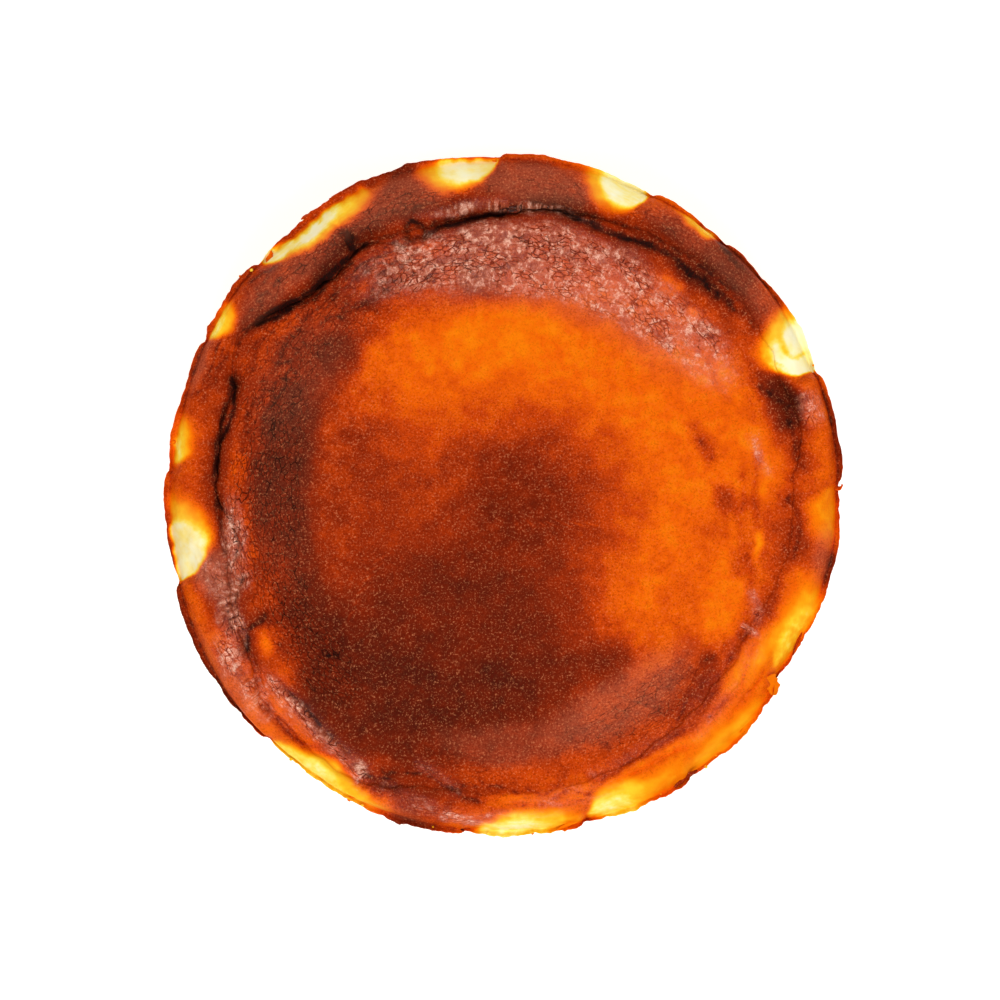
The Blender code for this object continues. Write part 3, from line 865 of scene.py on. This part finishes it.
def pale_pockets(form, inset, narrowed, softness):
    """How pale the pockets are, each an arch with one sharp side, and the wall below them."""
    down = hump((form.ring - form.lip_ring).clip(0) / 7.0)
    pale = np.zeros_like(form.share)
    for steep, faded, inner, _, paleness in POCKETS:
        reach = (1.0 - narrowed) * (faded - steep)
        across = 2.0 * turn(form.bent_angle, steep) / reach - 1.0
        inward = np.clip((ARCH_TOP - form.bent_share) / (ARCH_TOP - inner - inset), 0.0, 3.0)
        arch = 1.0 - (np.abs(across) ** ARCH_POWER + inward**ARCH_POWER) ** (1.0 / ARCH_POWER)
        soft = np.interp(across, (-1.0, 0.0, 1.0), softness)
        strength = paleness if inset > 0.0 else min(1.0, 0.4 + paleness)
        pale = np.maximum(pale, strength * down * smooth_step(arch / soft + 0.35))
    return pale * (1.0 - lip_crust(form))


# Meshes
FIELDS = ("toast", "mauve_sheen", "gloss", "cracks", "papered", "folded", "glow", "core")


def spin_rings(form):
    """Spins a plain cross-section once round, then moves every ring to the real surface."""
    mesh = bmesh.new()
    ring_of = mesh.verts.layers.int.new("ring")
    segment_of = mesh.verts.layers.int.new("segment")
    plain = rings_through(cross_section(np.zeros(1)))[:, :, 0]
    corners = [mesh.verts.new((radius, 0.0, height)) for radius, height in plain]
    for ring, corner in enumerate(corners):
        corner[ring_of] = ring
    edges = [mesh.edges.new(pair) for pair in zip(corners, corners[1:])]
    bmesh.ops.spin(
        mesh,
        geom=corners + edges,
        cent=(0, 0, 0),
        axis=(0, 0, 1),
        angle=math.tau,
        steps=SEGMENTS,
        use_merge=True,
    )
    for corner in mesh.verts:
        turned = math.atan2(corner.co.y, corner.co.x) / math.tau
        corner[segment_of] = round(turned * SEGMENTS) % SEGMENTS
        place = corner[ring_of], corner[segment_of]
        corner.co = (form.x[place], form.y[place], form.heights[place])
    caps = bmesh.ops.holes_fill(mesh, edges=[edge for edge in mesh.edges if edge.is_boundary])
    bmesh.ops.poke(mesh, faces=caps["faces"])
    return mesh


def finish_piece(name, mesh, material, sharp=60.0):
    """Makes an object of a bmesh, smooth but for its sharp edges, riding on the cake's body."""
    bmesh.ops.recalc_face_normals(mesh, faces=mesh.faces)
    data = bpy.data.meshes.new(name)
    mesh.to_mesh(data)
    mesh.free()
    data.materials.append(material)
    data.shade_smooth()
    data.set_sharp_from_angle(angle=math.radians(sharp))
    piece = bpy.data.objects.new(name, data)
    bpy.context.scene.collection.objects.link(piece)
    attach(piece, "root")
    return piece


def write_fields(data, fields):
    """Stores one number for each vertex under each field's name, for the materials to read."""
    for name, values in fields.items():
        layer = data.attributes.new(name, "FLOAT", "POINT")
        layer.data.foreach_set("value", np.asarray(values, dtype=np.float32))


def make_cake(form, material):
    """The cake's body."""
    mesh = spin_rings(form)
    ring_of, segment_of = mesh.verts.layers.int["ring"], mesh.verts.layers.int["segment"]
    rings = np.array([corner[ring_of] for corner in mesh.verts])
    segments = np.array([corner[segment_of] for corner in mesh.verts])
    blank = np.zeros_like(form.share)
    painted = {
        "toast": browning(form),
        "mauve_sheen": paint_bands(blank, form, MAUVE_SHEEN_BANDS) * form.on_top,
        "gloss": paint_lines(paint_bands(blank, form, GLOSS_BANDS), form, GLOSS_LINES) * form.on_top,
        "cracks": paint_bands(blank, form, CRACK_BANDS) * form.on_top,
        "papered": blank + smooth_step((form.ring - form.lip_ring - 1) / 6.0),
        "folded": darkened(form, FOLD_LINE),
        "glow": pale_pockets(form, *PALE_GLOW),
        "core": pale_pockets(form, *PALE_CORE) * (1.0 - paint_lines(blank, form, CUSTARD_CURLS)),
    }
    cake = finish_piece("cake_crust", mesh, material)
    write_fields(cake.data, {name: field[rings, segments] for name, field in painted.items()})
    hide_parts("cheesecake")


# Torn flakes at the rim: angle, how far out from the lip, height above it, length, width, curl in
# radians, turn from the rim's direction in degrees, browning
FLAKES = (
    (1.8, -1.4, 0.2, 9.0, 1.8, 4.6, 60, 0.50),
    (22.2, -1.4, 0.5, 3.0, 2.0, 0.8, 10, 0.10),
    (64.9, -2.0, 0.2, 4.6, 3.2, 0.9, 20, 0.34),
    (91.6, -1.6, 0.3, 3.6, 2.2, 0.9, 60, 0.34),
    (119.0, -0.3, 0.1, 5.0, 1.2, 0.5, 2, 0.62),
    (124.5, -0.3, 0.1, 6.0, 1.2, 0.4, -2, 0.60),
    (134.2, -1.4, 0.2, 4.0, 2.2, 0.9, 30, 0.45),
    (-116.6, -1.0, 0.1, 3.4, 1.8, 0.9, 50, 0.46),
    (-98.2, -1.2, -0.4, 6.0, 2.0, 0.8, 3, 0.90),
    (-79.0, -1.4, -0.4, 7.4, 1.2, 0.3, 12, 0.36),
    (-72.5, -1.2, -0.4, 7.0, 2.2, 0.6, -8, 0.84),
    (-57.0, -1.4, -0.2, 9.0, 1.5, 0.5, 4, 0.70),
    (-34.8, -0.9, 0.3, 7.0, 4.6, 1.2, 40, 0.40),
    (-26.0, -1.0, 0.0, 10.0, 1.0, 0.4, 3, 0.62),
    (-43.0, -1.0, 0.0, 7.0, 1.6, 0.5, -5, 0.40),
)
FLAKE_THICKNESS = 0.00035
FLAKE_LEAN = 28.0
FLAKE_TAPER = 1.94
FLAKE_TEARS = 0.7
STRAIGHT_CURL = 0.05
CRUMBS = 14
CRUMB_SIZES = (0.0003, 0.0007)
CRUMB_BROWNING = (0.15, 0.5)
CRUMB_UNEVENNESS = 0.4
CRUMB_SEED = 23


def mark_toast(mesh, corners, level):
    """Gives corners of a flake or crumb their browning."""
    layer = mesh.verts.layers.float["toast"]
    for corner in corners:
        corner[layer] = level


def add_flake(mesh, form, angle, outward, above, length, width, curl, heading, level):
    """A thin curled scrap of crust, torn at its edges, set on the lip."""
    sheet = bmesh.ops.create_grid(mesh, x_segments=16, y_segments=4, size=0.5)["verts"]
    for corner in sheet:
        along, across = corner.co.x, corner.co.y
        taper = math.sqrt(1.0 - (FLAKE_TAPER * along) ** 2)
        torn = taper * (1.0 + FLAKE_TEARS * noise.noise(Vector((along * 7.0, across * 2.0, angle))))
        bend = along * curl
        radius = length * MM / max(curl, STRAIGHT_CURL)
        corner.co = (radius * math.sin(bend), across * width * MM * torn, radius * (1.0 - math.cos(bend)))
    segment = round(angle / 360.0 * SEGMENTS) % SEGMENTS
    lip = form.lip_ring, segment
    reach = form.radii[lip] + outward * MM
    turned = math.radians(angle)
    place = Vector((reach * math.cos(turned), reach * math.sin(turned), form.heights[lip] + above * MM))
    facing = Matrix.Rotation(turned + math.radians(90.0 + heading), 4, "Z")
    lean = Matrix.Rotation(math.radians(FLAKE_LEAN), 4, "X")
    bmesh.ops.transform(mesh, matrix=Matrix.Translation(place) @ facing @ lean, verts=sheet)
    mark_toast(mesh, sheet, level)
    faces = list({face for corner in sheet for face in corner.link_faces})
    bmesh.ops.solidify(mesh, geom=faces, thickness=FLAKE_THICKNESS)


def add_crumb(mesh, form, chance):
    """A small uneven crumb near the rim."""
    size = chance.uniform(*CRUMB_SIZES)
    angle = chance.uniform(0.0, 360.0)
    ring = form.lip_ring - int(chance.integers(0, 6))
    place = ring, round(angle / 360.0 * SEGMENTS) % SEGMENTS
    crumb = bmesh.ops.create_icosphere(mesh, subdivisions=2, radius=size)["verts"]
    for corner in crumb:
        corner.co *= 1.0 + CRUMB_UNEVENNESS * noise.noise(corner.co * 900.0 + Vector((angle, 0.0, 0.0)))
    spot = Vector((form.x[place], form.y[place], form.heights[place] + 0.4 * size))
    bmesh.ops.translate(mesh, vec=spot, verts=crumb)
    mark_toast(mesh, crumb, chance.uniform(*CRUMB_BROWNING))


def make_flakes(form, material):
    """Torn flakes and crumbs along the rim."""
    mesh = bmesh.new()
    mesh.verts.layers.float.new("toast")
    for flake in FLAKES:
        add_flake(mesh, form, *flake)
    chance = np.random.default_rng(CRUMB_SEED)
    for _ in range(CRUMBS):
        add_crumb(mesh, form, chance)
    flakes = finish_piece("crust_flakes", mesh, material, sharp=50.0)
    still = np.zeros(len(flakes.data.vertices))
    write_fields(flakes.data, {name: still for name in FIELDS if name != "toast"})


# Materials
# Colours of the crust from pale custard to char: level and screen colour
CRUST_COLOURS = (
    (0.00, (255, 253, 232)),
    (0.07, (255, 246, 192)),
    (0.14, (255, 228, 100)),
    (0.21, (255, 202, 42)),
    (0.29, (252, 165, 18)),
    (0.38, (246, 125, 4)),
    (0.47, (237, 96, 3)),
    (0.57, (200, 64, 4)),
    (0.67, (152, 42, 6)),
    (0.77, (117, 31, 7)),
    (0.87, (82, 24, 10)),
    (1.00, (36, 15, 11)),
)
# Colours of the wall and the base, where the paper kept the crust thin
WALL_COLOURS = (
    (0.00, (253, 239, 190)),
    (0.18, (249, 218, 138)),
    (0.30, (241, 182, 88)),
    (0.42, (223, 139, 52)),
    (0.55, (192, 98, 32)),
    (0.68, (146, 70, 24)),
    (0.82, (100, 42, 18)),
    (1.00, (50, 24, 14)),
)
# Painted mauve sheen, dark pores, light specks of grain with painted glints, painted sheen and painted
# sparkle
MAUVE_SHEEN_COLOUR = (186, 108, 80)
PORE_COLOUR = (90, 14, 2)
SPECK_AND_GLINT_COLOUR = (255, 158, 104)
PAINTED_SHEEN_COLOUR = (224, 118, 80)
PAINTED_SPARKLE_COLOUR = (255, 206, 180)
FLOOR_COLOURS = ((246, 246, 246), (250, 250, 250))
# How far each pattern moves the browning
MOTTLE_SHIFT = 0.05
EDGE_SHIFT = 0.025
CRACK_SHIFT = 0.17
STREAK_SHIFT = 0.06
# Strength of the painted mauve sheen, and the most that pores, light specks with painted glints, painted
# sheen and painted sparkle cover
MAUVE_SHEEN_COVER = 0.38
PORE_COVER = 0.52
SPECK_AND_GLINT_COVER = 0.34
PAINTED_SHEEN_COVER = 0.54
PAINTED_SPARKLE_COVER = 0.78


def from_screen(colour):
    """Linear colour of a screen colour given from 0 to 255."""
    shares = [channel / 255.0 for channel in colour]
    linear = [c / 12.92 if c <= 0.04045 else ((c + 0.055) / 1.055) ** 2.4 for c in shares]
    return (*linear, 1.0)


class Recipe:
    """One material's node tree, with short ways to add what it needs."""

    def __init__(self, name):
        self.material = bpy.data.materials.new(name)
        self.material.use_nodes = True
        self.tree = self.material.node_tree
        self.shader = self.tree.nodes["Principled BSDF"]

    def feed(self, socket, value):
        """Links a socket to another one, or sets it to a plain value."""
        if isinstance(value, bpy.types.NodeSocket):
            self.tree.links.new(value, socket)
        else:
            socket.default_value = value

    def add(self, kind, inputs, **settings):
        """A new node with its settings and inputs."""
        made = self.tree.nodes.new(kind)
        for name, value in settings.items():
            setattr(made, name, value)
        for socket, value in inputs.items():
            self.feed(made.inputs[socket], value)
        return made

    def field(self, name):
        """A field painted on the mesh."""
        return self.add("ShaderNodeAttribute", {}, attribute_name=name).outputs["Fac"]

    def place(self):
        """Places on the cake, in metres."""
        return self.add("ShaderNodeTexCoord", {}).outputs["Object"]

    def maths(self, operation, *values):
        return self.add("ShaderNodeMath", dict(enumerate(values)), operation=operation).outputs[0]

    def times(self, product, *others):
        """The product of all values."""
        for other in others:
            product = self.maths("MULTIPLY", product, other)
        return product

    def shaken(self, value, amount, size):
        """A value moved by an amount of the given size."""
        return self.maths("MULTIPLY_ADD", amount, size, value)

    def vector(self, operation, inputs, output=0):
        return self.add("ShaderNodeVectorMath", inputs, operation=operation).outputs[output]

    def scaled(self, value, low, high, to_low=0.0, to_high=1.0):
        """A smooth change from one level to another as the value goes from low to high."""
        inputs = {"Value": value, "From Min": low, "From Max": high, "To Min": to_low, "To Max": to_high}
        return self.add("ShaderNodeMapRange", inputs, interpolation_type="SMOOTHSTEP").outputs[0]

    def swing(self, value, reach):
        """Noise about 0.5, spread to -1 to 1."""
        return self.scaled(value, 0.5 - reach, 0.5 + reach, -1.0, 1.0)

    def blend(self, share, first, second):
        """From the first value to the second, by a share."""
        inputs = {"Value": share, "From Min": 0.0, "From Max": 1.0, "To Min": first, "To Max": second}
        return self.add("ShaderNodeMapRange", inputs).outputs[0]

    def noise(self, place, waves, detail=2.0, roughness=0.5):
        inputs = {"Vector": place, "Scale": waves, "Detail": detail, "Roughness": roughness}
        return self.add("ShaderNodeTexNoise", inputs).outputs["Fac"]

    def shifted(self, place, waves, size):
        """Places shifted a little by noise."""
        made = self.add("ShaderNodeTexNoise", {"Vector": place, "Scale": waves, "Detail": 2.0})
        offset = self.vector("SUBTRACT", {0: made.outputs["Color"], 1: (0.5, 0.5, 0.5)})
        return self.vector("ADD", {0: place, 1: self.vector("SCALE", {0: offset, "Scale": size})})

    def seams(self, place, waves, width):
        """1 along the borders of uneven cells, 0 away from them."""
        inputs = {"Vector": place, "Scale": waves, "Randomness": 1.0}
        cells = self.add("ShaderNodeTexVoronoi", inputs, feature="DISTANCE_TO_EDGE")
        return self.scaled(cells.outputs["Distance"], 0.0, width, 1.0, 0.0)

    def colours(self, level, stops):
        """The colour that a ramp has at a level."""
        ramp = self.add("ShaderNodeValToRGB", {"Fac": level})
        band = ramp.color_ramp
        while len(band.elements) < len(stops):
            band.elements.new(0.5)
        for element, (position, colour) in zip(band.elements, stops):
            element.position = position
            element.color = from_screen(colour)
        return ramp.outputs["Color"]

    def mix(self, share, first, second):
        """A mix of two colours. The node keeps its colour sockets after those for numbers and vectors."""
        inputs = {0: share, 6: first, 7: second}
        return self.add("ShaderNodeMix", inputs, data_type="RGBA").outputs[2]

    def tint(self, colour, share, screen_colour):
        """A colour brought towards a plain one."""
        return self.mix(share, colour, from_screen(screen_colour))

    def bump(self, height, strength, distance, **normal):
        inputs = {"Height": height, "Strength": strength, "Distance": distance, **normal}
        return self.add("ShaderNodeBump", inputs).outputs["Normal"]

    def finish(self, **inputs):
        """Feeds the shader and gives the finished material."""
        for name, value in inputs.items():
            self.feed(self.shader.inputs[name.replace("_", " ")], value)
        return self.material


def along_rim(recipe, place, draw_out):
    """Places whose pattern is drawn out along the rim: the same all round, with no seam."""
    flat = recipe.vector("MULTIPLY", {0: place, 1: (1.0, 1.0, 0.0)})
    reach = recipe.vector("LENGTH", {0: flat}, output="Value")
    heading = recipe.vector("NORMALIZE", {0: flat})
    ring = recipe.vector("SCALE", {0: heading, "Scale": 0.8 * CAKE_RADIUS / draw_out})
    parts = recipe.add("ShaderNodeSeparateXYZ", {0: ring}).outputs
    height = recipe.add("ShaderNodeSeparateXYZ", {0: place}).outputs["Z"]
    inward = recipe.maths("SUBTRACT", reach, height)
    drawn = {"X": parts["X"], "Y": parts["Y"], "Z": inward}
    return recipe.add("ShaderNodeCombineXYZ", drawn).outputs[0]


def crust_material():
    """Crust whose colour, painted mauve sheen, wet gloss with painted sheen and sparkle, and cracks follow
    the fields painted on the mesh.
    """
    recipe = Recipe("browned_crust_baked")
    place = recipe.place()
    drawn = along_rim(recipe, place, 3.0)
    toast, mauve_sheen = recipe.field("toast"), recipe.field("mauve_sheen")
    gloss, cracked = recipe.field("gloss"), recipe.field("cracks")

    # Browning, with the edges of pockets and folds broken by noise
    edged = recipe.swing(recipe.noise(place, 330.0, detail=3.0, roughness=0.6), 0.25)
    glow = recipe.scaled(recipe.shaken(recipe.field("glow"), edged, 0.07), 0.05, 0.90)
    core = recipe.scaled(recipe.shaken(recipe.field("core"), edged, 0.10), 0.12, 0.85)
    folded = recipe.scaled(recipe.shaken(recipe.field("folded"), edged, 0.24), 0.12, 1.0)
    folded = recipe.times(folded, recipe.scaled(toast, 0.34, 0.62, 0.10, 0.21))
    toast = recipe.maths("ADD", toast, folded)
    toast = recipe.blend(glow, toast, GLOW_LEVEL)
    toast = recipe.blend(core, toast, CORE_LEVEL)
    browned = recipe.scaled(toast, 0.16, 0.50)

    # Patterns of the crust, from coarse to fine
    mottle = recipe.noise(place, 120.0, detail=3.0, roughness=0.6)
    pores = recipe.noise(place, 1500.0, detail=2.0, roughness=0.8)
    wet = recipe.noise(along_rim(recipe, place, 1.4), 400.0, detail=4.0, roughness=0.78)

    # Wide cracks of the dry crust, and narrow ones that craze the wet crust too
    warped = recipe.shifted(drawn, 900.0, 0.0005)
    broken = recipe.noise(drawn, 400.0, detail=2.0, roughness=0.6)
    wide = recipe.times(recipe.seams(warped, 640.0, 0.06), recipe.scaled(broken, 0.50, 0.64), cracked)
    crazed = recipe.maths("MAXIMUM", recipe.times(cracked, 0.7), recipe.times(gloss, 0.8))
    narrow = recipe.times(recipe.seams(warped, 1000.0, 0.11), recipe.scaled(broken, 0.58, 0.40), crazed)
    cracks = recipe.maths("MAXIMUM", wide, narrow)
    cracks = recipe.times(cracks, recipe.scaled(toast, 0.42, 0.60))

    # Colour by the level of browning
    level = recipe.shaken(toast, recipe.swing(mottle, 0.3), MOTTLE_SHIFT)
    level = recipe.shaken(level, recipe.times(edged, browned), EDGE_SHIFT)
    level = recipe.shaken(level, recipe.times(cracks, browned), CRACK_SHIFT)
    # Streaks along the rim in the wet and cracked crust, lighter and darker: painted light and shade of its
    # wrinkles
    level = recipe.shaken(level, recipe.times(recipe.swing(broken, 0.2), crazed), STREAK_SHIFT)
    colour = recipe.colours(level, CRUST_COLOURS)
    colour = recipe.mix(recipe.field("papered"), colour, recipe.colours(level, WALL_COLOURS))
    # Painted sheen: a mauve haze where the lights' soft reflection falls
    colour = recipe.tint(colour, recipe.times(mauve_sheen, MAUVE_SHEEN_COVER), MAUVE_SHEEN_COLOUR)

    # Dark pores, and light specks that are lighter grain and painted glints
    dark_specks = recipe.scaled(toast, 0.3, 0.6, 0.0, PORE_COVER)
    dark_specks = recipe.times(dark_specks, recipe.scaled(pores, 0.50, 0.32))
    colour = recipe.tint(colour, dark_specks, PORE_COLOUR)
    specks_and_glints = recipe.times(recipe.scaled(toast, 0.38, 0.64), recipe.scaled(level, 0.98, 0.86))
    specks_and_glints = recipe.times(specks_and_glints, recipe.scaled(pores, 0.54, 0.72, 0.0, SPECK_AND_GLINT_COVER))
    colour = recipe.tint(colour, specks_and_glints, SPECK_AND_GLINT_COLOUR)

    # Painted sheen and painted sparkle highlights of the wet crust, outside its cracks
    painted_sheen = recipe.scaled(recipe.shaken(gloss, recipe.swing(mottle, 0.25), 0.24), 0.2, 0.95)
    painted_sheen = recipe.times(painted_sheen, recipe.scaled(toast, 0.36, 0.56), recipe.scaled(cracks, 0.0, 0.5, 1.0, 0.0))
    painted_soft_sheen = recipe.times(painted_sheen, recipe.scaled(wet, 0.38, 0.58, 0.05, PAINTED_SHEEN_COVER))
    colour = recipe.tint(colour, painted_soft_sheen, PAINTED_SHEEN_COLOUR)
    painted_sparkle = recipe.times(painted_sheen, recipe.scaled(wet, 0.50, 0.64, 0.0, PAINTED_SPARKLE_COVER))
    painted_sparkle = recipe.times(painted_sparkle, recipe.scaled(pores, 0.40, 0.60, 0.30, 1.0))
    colour = recipe.tint(colour, painted_sparkle, PAINTED_SPARKLE_COLOUR)

    # Relief of the pores, the mottle, the wet wrinkles and the cracks
    normal = recipe.bump(pores, recipe.scaled(toast, 0.1, 0.6, 0.1, 0.6), 0.0004)
    dried = recipe.scaled(toast, 0.1, 0.5, 0.2, 1.0)
    rippling = recipe.times(dried, recipe.scaled(gloss, 0.0, 1.0, 0.45, 1.0))
    normal = recipe.bump(mottle, recipe.times(rippling, 0.6), 0.0020, Normal=normal)
    normal = recipe.bump(wet, rippling, 0.0007, Normal=normal)
    normal = recipe.bump(recipe.maths("SUBTRACT", 1.0, cracks), 0.8, 0.0006, Normal=normal)

    return recipe.finish(
        Base_Color=colour,
        Roughness=recipe.scaled(gloss, 0.0, 1.0, 0.52, 0.34),
        Specular_IOR_Level=0.015,
        Coat_Weight=recipe.times(gloss, 0.7),
        Coat_Roughness=0.16,
        Coat_IOR=1.5,
        Normal=normal,
        Coat_Normal=normal,
    )


def floor_material():
    """A plain pale floor."""
    recipe = Recipe("pale_floor")
    first, second = (from_screen(colour) for colour in FLOOR_COLOURS)
    return recipe.finish(
        Base_Color=recipe.mix(recipe.noise(recipe.place(), 3.0), first, second),
        Roughness=0.8,
        Specular_IOR_Level=0.1,
        Emission_Color=(1.0, 1.0, 1.0, 1.0),
        Emission_Strength=0.45,
    )


# Stage, lights and camera
FLOOR_SIZE = 6.0
MM_PER_PIXEL = 0.3207
PICTURE_PIXELS = 1000
CAKE_CENTRE_PIXEL = (503.0, 497.0)
RIM_LEVEL = 0.045
LENS = 85.0
SENSOR = 36.0
# Softboxes: name, place, size, power
SOFTBOXES = (
    ("front_softbox", (0.06, -0.54, 0.94), (0.6, 0.3), 5.5),
    ("left_softbox", (-0.62, -0.12, 0.90), (0.35, 0.35), 1.7),
    ("right_softbox", (0.62, -0.08, 0.90), (0.35, 0.35), 1.7),
    ("back_softbox", (0.0, 0.85, 0.70), (1.0, 0.5), 3.7),
)
WORLD_LIGHT = 0.31


def make_floor():
    mesh = bmesh.new()
    bmesh.ops.create_grid(mesh, x_segments=1, y_segments=1, size=0.5 * FLOOR_SIZE)
    data = bpy.data.meshes.new("floor")
    mesh.to_mesh(data)
    mesh.free()
    data.materials.append(floor_material())
    floor = bpy.data.objects.new("floor", data)
    bpy.context.scene.collection.objects.link(floor)


def aimed(place, target):
    return (Vector(target) - Vector(place)).to_track_quat("-Z", "Y").to_euler()


def light_scene():
    scene = bpy.context.scene
    for name, place, (width, height), power in SOFTBOXES:
        light = bpy.data.lights.new(name, "AREA")
        light.shape = "RECTANGLE"
        light.size, light.size_y = width, height
        light.energy = power
        box = bpy.data.objects.new(name, light)
        box.location = place
        box.rotation_euler = aimed(place, (0.0, 0.0, CENTRE_HEIGHT))
        scene.collection.objects.link(box)
    world = bpy.data.worlds.new("soft_room")
    world.use_nodes = True
    room = world.node_tree.nodes["Background"]
    room.inputs["Color"].default_value = (1.0, 1.0, 1.0, 1.0)
    room.inputs["Strength"].default_value = WORLD_LIGHT
    scene.world = world
    scene.view_settings.view_transform = "Standard"
    scene.view_settings.look = "None"


def place_camera():
    """Straight above the cake, with +Y towards the top of the picture."""
    view = PICTURE_PIXELS * MM_PER_PIXEL * MM
    aside = [(0.5 * PICTURE_PIXELS - pixel) * MM_PER_PIXEL * MM for pixel in CAKE_CENTRE_PIXEL]
    lens = bpy.data.cameras.new("camera")
    lens.lens = LENS
    lens.sensor_width = SENSOR
    camera = bpy.data.objects.new("camera", lens)
    camera.location = (aside[0], -aside[1], RIM_LEVEL + view * LENS / SENSOR)
    bpy.context.scene.collection.objects.link(camera)
    bpy.context.scene.camera = camera


def main():
    form = Form()
    crust = crust_material()
    make_cake(form, crust)
    make_flakes(form, crust)
    make_floor()
    light_scene()
    place_camera()


main()
